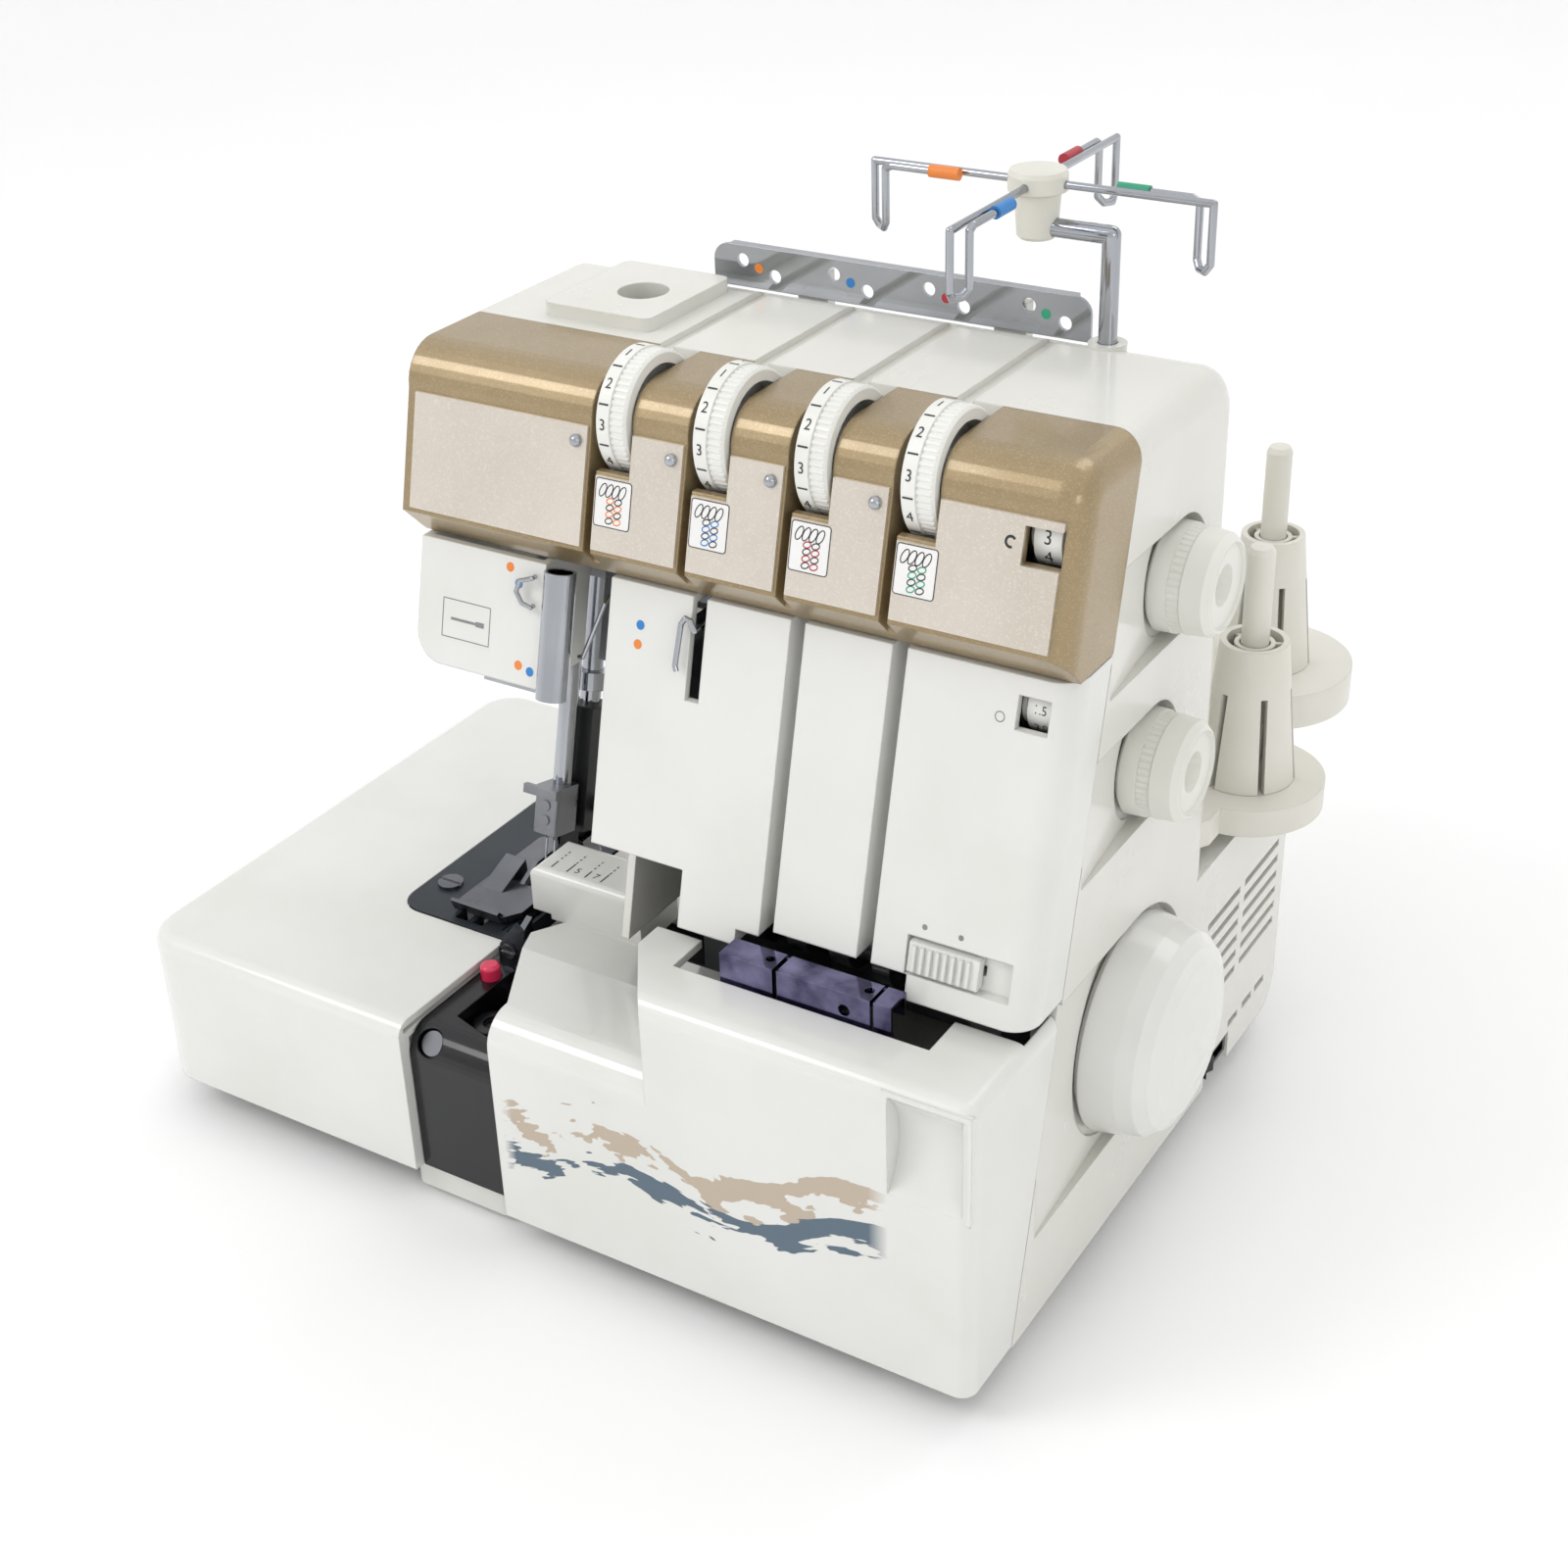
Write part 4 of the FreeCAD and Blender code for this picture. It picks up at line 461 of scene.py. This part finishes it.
def dress_nodes() -> None:
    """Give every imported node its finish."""
    finishes = dict(NODE_FINISH)
    finishes.update({name: CHROME for name in CHROMED})
    finishes.update({name: GROUND_STEEL for name in GROUND})
    finishes.update({name: DIAL_ABS for name in DIAL_NODES})
    finishes.update({name: SPOOL_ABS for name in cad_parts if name.startswith("spool_cone")})
    for name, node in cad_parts.items():
        node.data.materials.clear()
        node.data.materials.append(finishes[name].build())
        log.info("dressed %s in %s", name, finishes[name].name)


# ---- making pieces ------------------------------------------------------
def make_piece(name: str, points: np.ndarray, faces: Sequence[Sequence[int]], finish: Finish, body: str,
               smooth: bool = True) -> bpy.types.Object:
    """Put points and faces into a new mesh object that rides on a body.

    Args:
        name: the piece's name.
        points: an N by 3 array in metres.
        faces: corner numbers of each face.
        finish: the surface finish.
        body: the moving body it rides on.
        smooth: whether faces are shaded smooth.

    Returns:
        The new object.
    """
    mesh = bpy.data.meshes.new(name)
    mesh.from_pydata(points.tolist(), [], [list(face) for face in faces])
    mesh.polygons.foreach_set("use_smooth", np.full(len(mesh.polygons), smooth))
    mesh.materials.append(finish.build())
    mesh.update()
    piece = bpy.data.objects.new(name, mesh)
    bpy.context.scene.collection.objects.link(piece)
    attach(piece, body)
    log.info("made %s on %s", name, body)
    return piece


def grid_faces(rows: int, columns: int, closed: bool = False) -> list[tuple[int, ...]]:
    """Quads joining neighbouring points of a grid.

    Args:
        rows: points along the first parameter.
        columns: points along the second.
        closed: whether the first parameter runs round to its start.

    Returns:
        The quads.
    """
    r = np.arange(rows if closed else rows - 1)
    i, j = np.meshgrid(r, np.arange(columns - 1), indexing="ij")
    k = (i + 1) % rows
    first, second = i * columns + j, k * columns + j
    quads = np.stack([first, second, second + 1, first + 1], axis=-1)
    return [tuple(int(v) for v in quad) for quad in quads.reshape(-1, 4)]


@dataclass(frozen=True)
class LeaningPlane:
    """A front panel's plane: a point (x, z) on it lies at y = meets + LEAN * z."""

    meets: float

    def place(self, x: np.ndarray, z: np.ndarray) -> np.ndarray:
        """Carry flat drawing points onto the plane, proud of it by the thickness of a print.

        Args:
            x: sideways positions.
            z: heights.

        Returns:
            An N by 3 array.
        """
        return np.stack([x, self.meets + LEAN * z - PROUD, z], axis=-1)


@dataclass(frozen=True)
class Drum:
    """A turned surface about an X-wise axis; drawings wrap round it.

    A drawing's x stays along the axis and its height turns into an angle:
    y = cy - R cos(angle), z = cz + R sin(angle).
    """

    x: float
    y: float
    z: float
    radius: float

    def wrap(self, x: np.ndarray, up: np.ndarray, angle: float) -> np.ndarray:
        """Wrap flat drawing points round the drum.

        Args:
            x: positions along the axis, from the drum's own x.
            up: distance along the rim.
            angle: where the drawing's middle sits, in radians above the front.

        Returns:
            An N by 3 array.
        """
        turn = angle + up / self.radius
        y = self.y - self.radius * np.cos(turn)
        z = self.z + self.radius * np.sin(turn)
        return np.stack([self.x + x, y, z], axis=-1)


@dataclass
class Sketch:
    """Collects flat shapes into one mesh, each placed by a mapping from (u, v) to space."""

    points: list[np.ndarray] = field(default_factory=list)
    faces: list[tuple[int, ...]] = field(default_factory=list)
    count: int = 0

    def add(self, points: np.ndarray, faces: Sequence[tuple[int, ...]]) -> None:
        """Append points with faces numbered from zero."""
        self.points.append(points)
        self.faces += [tuple(int(i) + self.count for i in face) for face in faces]
        self.count += len(points)

    def disc(self, place: Place, u: float, v: float, radius: float) -> None:
        """Add a flat disc: radius times cosine and sine of an angle that runs once round.

        Args:
            place: mapping from flat positions to space.
            u: the disc's middle, sideways.
            v: the disc's middle, upwards.
            radius: the disc's radius.
        """
        turn = np.linspace(0.0, 2 * math.pi, ROUND_SIDES, endpoint=False)
        rim = place(u + radius * np.cos(turn), v + radius * np.sin(turn))
        self.add(rim, [tuple(range(ROUND_SIDES))])

    def stroke(self, place: Place, u: np.ndarray, v: np.ndarray, width: float,
               closed: bool = False) -> None:
        """Add a flat line of even width: each point moved half the width to either side of the path.

        Args:
            place: mapping from flat positions to space.
            u: sideways positions along the path.
            v: heights along the path.
            width: the line's width.
            closed: whether the path ends where it starts.
        """
        if closed:
            du = np.roll(u, -1) - np.roll(u, 1)
            dv = np.roll(v, -1) - np.roll(v, 1)
        else:
            du, dv = np.gradient(u), np.gradient(v)
        length = np.hypot(du, dv) + TINY
        side_u, side_v = -dv / length * width / 2, du / length * width / 2
        left = place(u + side_u, v + side_v)
        right = place(u - side_u, v - side_v)
        points = np.stack([right, left], axis=1).reshape(-1, 3)
        self.add(points, grid_faces(len(u), 2, closed=closed))

    def ring(self, place: Place, u: float, v: float, radii: tuple[float, float], tilt: float,
             width: float) -> None:
        """Add a thin tilted oval line round (u, v) with half sizes radii."""
        turn = np.linspace(0.0, 2 * math.pi, ROUND_SIDES, endpoint=False)
        a, b = radii[0] * np.cos(turn), radii[1] * np.sin(turn)
        c, s = math.cos(tilt), math.sin(tilt)
        self.stroke(place, u + a * c - b * s, v + a * s + b * c, width, closed=True)

    def text(self, place: Place, words: str, size: float, u: float, v: float,
             squeeze: float = 1.0) -> None:
        """Add a printed digit or sign, from the built-in type face, centred on (u, v).

        Args:
            place: mapping from flat positions to space.
            words: what is printed.
            size: height of the type in metres.
            u: middle, sideways.
            v: middle, upwards.
            squeeze: sideways scale of the type.
        """
        curve = bpy.data.curves.new("type", "FONT")
        curve.body = words
        curve.size = 1.0
        curve.align_x = "CENTER"
        curve.align_y = "CENTER"
        curve.resolution_u = 4
        carrier = bpy.data.objects.new("type", curve)
        mesh = bpy.data.meshes.new_from_object(carrier)
        flat = np.empty(len(mesh.vertices) * 3)
        mesh.vertices.foreach_get("co", flat)
        flat = flat.reshape(-1, 3) * size
        faces = [tuple(polygon.vertices) for polygon in mesh.polygons]
        self.add(place(u + flat[:, 0] * squeeze, v + flat[:, 1]), faces)
        bpy.data.objects.remove(carrier)
        bpy.data.curves.remove(curve)
        bpy.data.meshes.remove(mesh)

    def finish(self, name: str, finish: Finish, body: str, slot: str) -> bpy.types.Object:
        """Make the collected shapes into one piece."""
        return make_piece(name, np.concatenate(self.points), self.faces, finish, body, smooth=False)


# ---- sub-assemblies -----------------------------------------------------
@dataclass
class TensionDials:
    """Four dials: printed numbers and ticks on the smooth half of each rim, and the tiles below them."""

    axis_y: float = -77.5 * MM
    axis_z: float = 248.0 * MM
    radius: float = 18.12 * MM
    band_middle: float = 2.8 * MM
    digit: float = 4.4 * MM
    squeeze: float = 0.92
    tick: tuple[float, float] = (-1.5 * MM, 1.5 * MM)
    tick_width: float = 0.5 * MM
    step: float = math.radians(36.0)
    nearest: int = 3                                          # the number that faces the front
    shown: tuple[float, ...] = (0.10, 0.02, 0.06, 0.26)       # how far each dial is turned past it

    def build(self) -> None:
        """Make the printed marks of every dial and the four tiles."""
        for index, thread in enumerate(THREADS):
            self.numbers(index)
            ThreadTile(index, thread).build()

    def numbers(self, index: int) -> None:
        """Print 0 to 9 round one dial with a tick between each pair."""
        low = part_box(DIAL_NODES[index])[0]
        drum = Drum(low[0] + self.band_middle, self.axis_y, self.axis_z, self.radius)
        sketch = Sketch()
        for number in range(10):
            middle = self.shown[index] + (self.nearest - number) * self.step
            sketch.text(lambda x, up, a=middle: drum.wrap(x, up, a), str(number), self.digit, 0.0, 0.0,
                        self.squeeze)
            between = middle + self.step / 2
            sketch.stroke(lambda x, up, a=between: drum.wrap(x, up, a), np.array(self.tick), np.zeros(2),
                          self.tick_width)
        sketch.finish(f"dial_numbers_{index + 1}", BLACK_INK, f"dial_{index + 1}", "dial_white")


@dataclass(frozen=True)
class Ovals:
    """A grid of tilted ovals on a tile: counts, first place in from its left and down from its top, pitch.

    Places and pitches are in millimetres, the rest in metres and radians.
    """

    columns: int
    rows: int
    first: tuple[float, float]
    pitch: tuple[float, float]
    radii: tuple[float, float]
    tilt: float
    width: float


@dataclass(frozen=True)
class ThreadTile:
    """A small film tile below one dial, with a loop-and-chain drawing partly in the thread's colour."""

    index: int
    thread: Thread
    inset: float = 3.4 * MM
    width: float = 11.6 * MM
    low: float = 222.6 * MM
    high: float = 235.2 * MM
    corner: float = 0.9 * MM
    outline: float = 0.25 * MM
    loops: Ovals = Ovals(4, 1, (2.4, 3.0), (2.1, 0.0), (0.9 * MM, 1.9 * MM), -0.45, 0.3 * MM)
    links: Ovals = Ovals(2, 4, (5.0, 5.6), (2.6, 1.75), (1.15 * MM, 0.75 * MM), 0.3, 0.32 * MM)

    def build(self) -> None:
        """Make the film, its black lines and its coloured chain."""
        left = SLOT_FIRST + self.index * DIAL_PITCH + self.inset
        u, v = self.rim(left, left + self.width)
        backing, lines, chain = Sketch(), Sketch(), Sketch()
        backing.add(LeaningPlane(GOLD_Y - FASCIA).place(u, v), [tuple(range(len(u)))])
        printed = LeaningPlane(GOLD_Y - FASCIA - PROUD).place
        lines.stroke(printed, u, v, self.outline, closed=True)
        for ovals in (self.loops, self.links):
            for row in range(ovals.rows):
                z = self.high - (ovals.first[1] + ovals.pitch[1] * row) * MM
                for column in range(ovals.columns):
                    x = left + (ovals.first[0] + ovals.pitch[0] * column) * MM
                    coloured = ovals is self.links and (row + column + self.index) % 2 == 0
                    (chain if coloured else lines).ring(printed, x, z, ovals.radii, ovals.tilt, ovals.width)
        number = self.index + 1
        backing.finish(f"tile_{number}", TILE_FILM, "machine", "pearl_plates")
        lines.finish(f"tile_lines_{number}", BLACK_INK, "machine", "pearl_plates")
        chain.finish(f"tile_chain_{number}", ink_of(self.thread), "machine", "pearl_plates")

    def rim(self, left: float, right: float) -> tuple[np.ndarray, np.ndarray]:
        """The tile's outline: a box whose corners are quarter circles.

        Args:
            left: the tile's left edge.
            right: its right edge.

        Returns:
            Sideways positions and heights round the rim.
        """
        turn = np.linspace(0.0, 2 * math.pi, 32, endpoint=False) + math.pi / 4
        across = (right - left) / 2 - self.corner
        tall = (self.high - self.low) / 2 - self.corner
        u = (left + right) / 2 + np.sign(np.cos(turn)) * across + self.corner * np.cos(turn)
        v = (self.low + self.high) / 2 + np.sign(np.sin(turn)) * tall + self.corner * np.sin(turn)
        return u, v


@dataclass
class NumberDrums:
    """The two drums that show through the windows, each with its printed scale."""

    stitch: Drum = Drum(130.6 * MM, -82.4 * MM, 240.6 * MM, 9.06 * MM)
    differential: Drum = Drum(130.4 * MM, -85.4 * MM, 194.0 * MM, 7.56 * MM)
    turned: float = 0.16          # how far both stand past their middle number, in radians
    squeeze: float = 0.9

    def build(self) -> None:
        """Print the stitch-length numbers and the differential scale."""
        self.scale("stitch_scale", self.stitch, "stitch_drum", ("1", "2", "3", "4", "5"), 0.62, 5.4 * MM)
        self.scale("differential_scale", self.differential, "differential_drum",
                   ("0.5", "1.0", "1.5", "2.0"), 0.75, 3.6 * MM)

    def scale(self, name: str, drum: Drum, body: str, words: Sequence[str], step: float,
              size: float) -> None:
        """Print one scale round its drum.

        Args:
            name: the piece's name.
            drum: the surface it is printed on.
            body: the moving body it rides on.
            words: the numbers, lowest first.
            step: angle from one to the next.
            size: height of the type.
        """
        sketch = Sketch()
        for k, word in enumerate(words):
            middle = (len(words) // 2 - k) * step + self.turned
            sketch.text(lambda x, up, a=middle: drum.wrap(x, up, a), word, size, 0.0, 0.0, self.squeeze)
        sketch.finish(name, BLACK_INK, body, "dial_white")


@dataclass
class ThreadMarks:
    """Coloured dots that lead each thread, and the small printed signs on the front.

    Places on the panels, given in pairs or rows, are in millimetres; single sizes are in metres.
    """

    face: LeaningPlane = LeaningPlane(FACE_Y)
    strip: LeaningPlane = LeaningPlane(STRIP_Y)
    gold: LeaningPlane = LeaningPlane(GOLD_Y - FASCIA)
    guide_y: float = -3.46 * MM
    guide_z: float = 265.4 * MM
    guide_hole: tuple[float, float, float] = (-1.0, 31.0, 5.5)    # first hole, pitch, dot before a hole
    guide_dot: float = 1.45 * MM
    head_dot: float = 1.35 * MM
    spots: tuple[tuple[LeaningPlane, float, float, Thread], ...] = (
        (face, -34.0, 201.5, Thread.LEFT_NEEDLE), (face, -30.6, 197.5, Thread.RIGHT_NEEDLE),
        (face, -29.0, 174.6, Thread.LEFT_NEEDLE), (face, -24.8, 173.6, Thread.RIGHT_NEEDLE),
        (strip, 10.2, 193.4, Thread.RIGHT_NEEDLE), (strip, 9.8, 188.0, Thread.LEFT_NEEDLE))
    sign_frame: tuple[tuple[float, float], ...] = ((-57.0, 177.5), (-40.0, 177.5), (-40.0, 188.5),
                                                   (-57.0, 188.5))
    needle_height: float = 183.0                                  # millimetres, as the frame's
    needle_blade: tuple[float, float] = (-54.0, -45.0)
    needle_butt: tuple[float, float] = (-45.0, -42.0)
    crescent: tuple[float, float] = (122.4, 241.0)
    crescent_arc: tuple[float, float] = (0.6, 5.1)
    small_round: float = 1.3                                      # millimetres
    slider_dots: tuple[float, ...] = (107.6, 118.4)
    slider_height: float = 133.6 * MM
    slider_dot: float = 0.8 * MM
    window_ring: tuple[float, float] = (121.0, 193.0)
    thin: float = 0.3 * MM
    block_top: float = 86.0 * MM
    seam_lines: tuple[float, ...] = (-47.0, -41.0, -34.0, -28.0)
    seam_tick: tuple[float, float] = (-75.0, -71.0)
    seam_dash: tuple[float, float, float] = (-69.6, 2.0, 0.9)     # first, pitch, length
    seam_width: float = 0.5 * MM
    seam_numbers: tuple[tuple[float, str], ...] = ((-38.0, "5"), (-31.0, "7"))
    seam_digit: float = 4.0 * MM
    seam_row: float = -73.0 * MM

    def build(self) -> None:
        """Make the dots on the top guide, the face plate and the front cover, and the printed signs."""
        self.guide_dots()
        self.front_dots()
        self.needle_sign()
        self.small_signs()
        self.seam_ticks()

    def guide_dots(self) -> None:
        """One dot between each pair of holes in the top thread guide."""
        first, pitch, before = self.guide_hole
        for index, thread in enumerate(THREADS):
            sketch = Sketch()
            x = (first + pitch * index - before) * MM
            sketch.disc(lambda u, v: np.stack([u, np.full_like(u, self.guide_y), v], axis=-1), x,
                        self.guide_z, self.guide_dot)
            sketch.finish("guide_dot_" + thread.name.lower(), ink_of(thread), "machine", "chrome")

    def front_dots(self) -> None:
        """Needle-thread dots beside the loops of the head."""
        for number, (plane, x, z, thread) in enumerate(self.spots):
            sketch = Sketch()
            sketch.disc(plane.place, x * MM, z * MM, self.head_dot)
            sketch.finish(f"needle_dot_{number + 1}", ink_of(thread), "machine", "casing_white")

    def needle_sign(self) -> None:
        """A framed needle drawing on the face plate: a thin blade and a thicker butt."""
        sketch = Sketch()
        corners = np.array(self.sign_frame) * MM
        for first, second in zip(corners, np.roll(corners, -1, axis=0)):
            u, v = np.linspace(first, second, 6).T
            sketch.stroke(self.face.place, u, v, self.thin)
        for ends, count, width in ((self.needle_blade, 8, 0.8 * MM), (self.needle_butt, 4, 1.5 * MM)):
            sketch.stroke(self.face.place, np.linspace(*ends, count) * MM,
                          np.full(count, self.needle_height) * MM, width)
        sketch.finish("needle_sign", GREY_INK, "machine", "casing_white")

    def small_signs(self) -> None:
        """A crescent by the upper window, dots over the slider and a ring by the lower window."""
        crescent = Sketch()
        turn = np.linspace(*self.crescent_arc, 20)
        x, z = self.crescent
        crescent.stroke(self.gold.place, (x + self.small_round * np.cos(turn)) * MM,
                        (z + self.small_round * np.sin(turn)) * MM, 0.7 * MM)
        crescent.finish("crescent_sign", BLACK_INK, "machine", "pearl_plates")
        dots = Sketch()
        for x in self.slider_dots:
            dots.disc(self.strip.place, x * MM, self.slider_height, self.slider_dot)
        x, z = self.window_ring
        dots.ring(self.strip.place, x * MM, z * MM, (self.small_round * MM, self.small_round * MM), 0.0,
                  self.thin)
        dots.finish("slider_signs", GREY_INK, "machine", "casing_white")

    def seam_ticks(self) -> None:
        """Seam-width ticks on top of the finger block of the looper cover."""
        sketch = Sketch()
        top = self.block_top + PROUD
        near, far = self.seam_tick
        start, pitch, length = self.seam_dash

        def flat(u: np.ndarray, v: np.ndarray) -> np.ndarray:
            """Lay drawing points on the block's top."""
            return np.stack([u, v, np.full_like(u, top)], axis=-1)
        for k, x in enumerate(self.seam_lines):
            across = np.full(2, x * MM)
            sketch.stroke(flat, across, np.array([near, far + (k % 2)]) * MM, self.seam_width)
            for dash in range(3):
                y = start + pitch * dash
                sketch.stroke(flat, across, np.array([y, y + length]) * MM, self.seam_width)
        for x, word in self.seam_numbers:
            sketch.text(flat, word, self.seam_digit, x * MM, self.seam_row)
        sketch.finish("seam_ticks", BLACK_INK, "looper_cover", "casing_white")


@dataclass(frozen=True)
class Lamp:
    """A round soft light: its name, its place and width in metres, and its power in watts."""

    name: str
    spot: tuple[float, float, float]
    size: float
    power: float


@dataclass
class Studio:
    """White sweep, soft lights and the camera."""

    place: tuple[float, float, float] = (0.3550, -0.5651, 0.4743)
    azimuth: float = 32.6
    elevation: float = 29.84
    roll: float = -2.05
    lens: float = 53.57
    sensor: float = 36.0
    middle: float = 0.02          # radius of the sweep's small closing face
    inner: float = 0.3            # radius of its first full ring
    level: float = 1.6            # radius to which it lies level
    rim: float = 4.4              # radius of its edge
    horizon: tuple[float, float] = (0.05, 0.75)       # world heights between which the room brightens
    brightness: tuple[float, float] = (0.42, 1.04)    # the room's strength at each of them
    lamps: tuple[Lamp, ...] = (Lamp("key", (-0.85, -0.95, 1.25), 0.7, 6.0),
                               Lamp("rim", (0.2, 0.9, 1.5), 0.9, 3.0),
                               Lamp("strip", (1.2, -0.9, 0.8), 0.35, 1.2))
    aim: tuple[float, float, float] = (0.0, 0.0, 0.12)

    def build(self) -> None:
        """Set up floor, lights, world and camera."""
        self.floor()
        self.world()
        for lamp in self.lamps:
            self.light(lamp)
        self.camera()

    def floor(self) -> None:
        """A round sheet, level in the middle, whose rim curves up all the way round the machine.

        A point lies at a radius and an angle; its height is zero out to the level part's edge, then half the
        square of the distance past it.  The sheet's middle is one small closing face.
        """
        radius = np.concatenate([[self.middle], np.linspace(self.inner, self.level, 6),
                                 np.linspace(self.level + 0.1, self.rim, 26)])
        turn = np.linspace(0.0, 2 * math.pi, 96, endpoint=False)
        angle, r = np.meshgrid(turn, radius, indexing="ij")
        height = np.maximum(r - self.level, 0.0) ** 2 / 2
        points = np.stack([r * np.cos(angle), r * np.sin(angle), height], axis=-1).reshape(-1, 3)
        faces = [face[::-1] for face in grid_faces(len(turn), len(radius), closed=True)]
        faces.append(tuple(k * len(radius) for k in range(len(turn))))
        mesh = bpy.data.meshes.new("sweep")
        mesh.from_pydata(points.tolist(), [], faces)
        mesh.polygons.foreach_set("use_smooth", np.full(len(mesh.polygons), True))
        mesh.materials.append(FLOOR.build())
        sweep = bpy.data.objects.new("sweep", mesh)
        bpy.context.scene.collection.objects.link(sweep)

    def world(self) -> None:
        """A white room, brighter overhead than level."""
        world = bpy.data.worlds.new("soft_room")
        world.use_nodes = True
        tree = world.node_tree
        background = tree.nodes["Background"]
        background.inputs["Color"].default_value = (1.0, 1.0, 1.0, 1.0)
        place = add_node(tree, "ShaderNodeTexCoord").outputs["Generated"]
        height = add_node(tree, "ShaderNodeSeparateXYZ", links={"Vector": place}).outputs["Z"]
        strength = add_node(tree, "ShaderNodeMapRange",
                            {"From Min": self.horizon[0], "From Max": self.horizon[1],
                             "To Min": self.brightness[0], "To Max": self.brightness[1]}, {"Value": height})
        tree.links.new(strength.outputs["Result"], background.inputs["Strength"])
        bpy.context.scene.world = world

    def light(self, lamp: Lamp) -> None:
        """Hang one lamp and turn it to the machine."""
        light = bpy.data.lights.new(lamp.name, "AREA")
        light.shape = "DISK"
        light.size = lamp.size
        light.energy = lamp.power
        carrier = bpy.data.objects.new(lamp.name, light)
        turn = (Vector(self.aim) - Vector(lamp.spot)).to_track_quat("-Z", "Y")
        carrier.matrix_world = Matrix.Translation(lamp.spot) @ turn.to_matrix().to_4x4()
        bpy.context.scene.collection.objects.link(carrier)

    def camera(self) -> None:
        """Place the camera from its azimuth, elevation and roll."""
        a, e, r = (math.radians(v) for v in (self.azimuth, self.elevation, self.roll))
        back = Vector((math.sin(a) * math.cos(e), -math.cos(a) * math.cos(e), math.sin(e)))
        right = (-back).cross(Vector((0, 0, 1))).normalized()
        down = (-back).cross(right)
        right = right * math.cos(r) - down * math.sin(r)
        up = back.cross(right)
        turn = Matrix((right, up, back)).transposed().to_4x4()
        data = bpy.data.cameras.new("camera")
        data.lens = self.lens
        data.sensor_width = self.sensor
        camera = bpy.data.objects.new("camera", data)
        camera.matrix_world = Matrix.Translation(self.place) @ turn
        bpy.context.scene.collection.objects.link(camera)
        bpy.context.scene.camera = camera
        bpy.context.scene.view_settings.view_transform = "Standard"


def main() -> None:
    """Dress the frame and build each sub-assembly."""
    logging.basicConfig(level=logging.INFO, format="%(message)s")
    dress_nodes()
    for assembly in (TensionDials(), NumberDrums(), ThreadMarks(), Studio()):
        log.info("building %s", type(assembly).__name__)
        assembly.build()


if __name__ == "__main__":
    main()
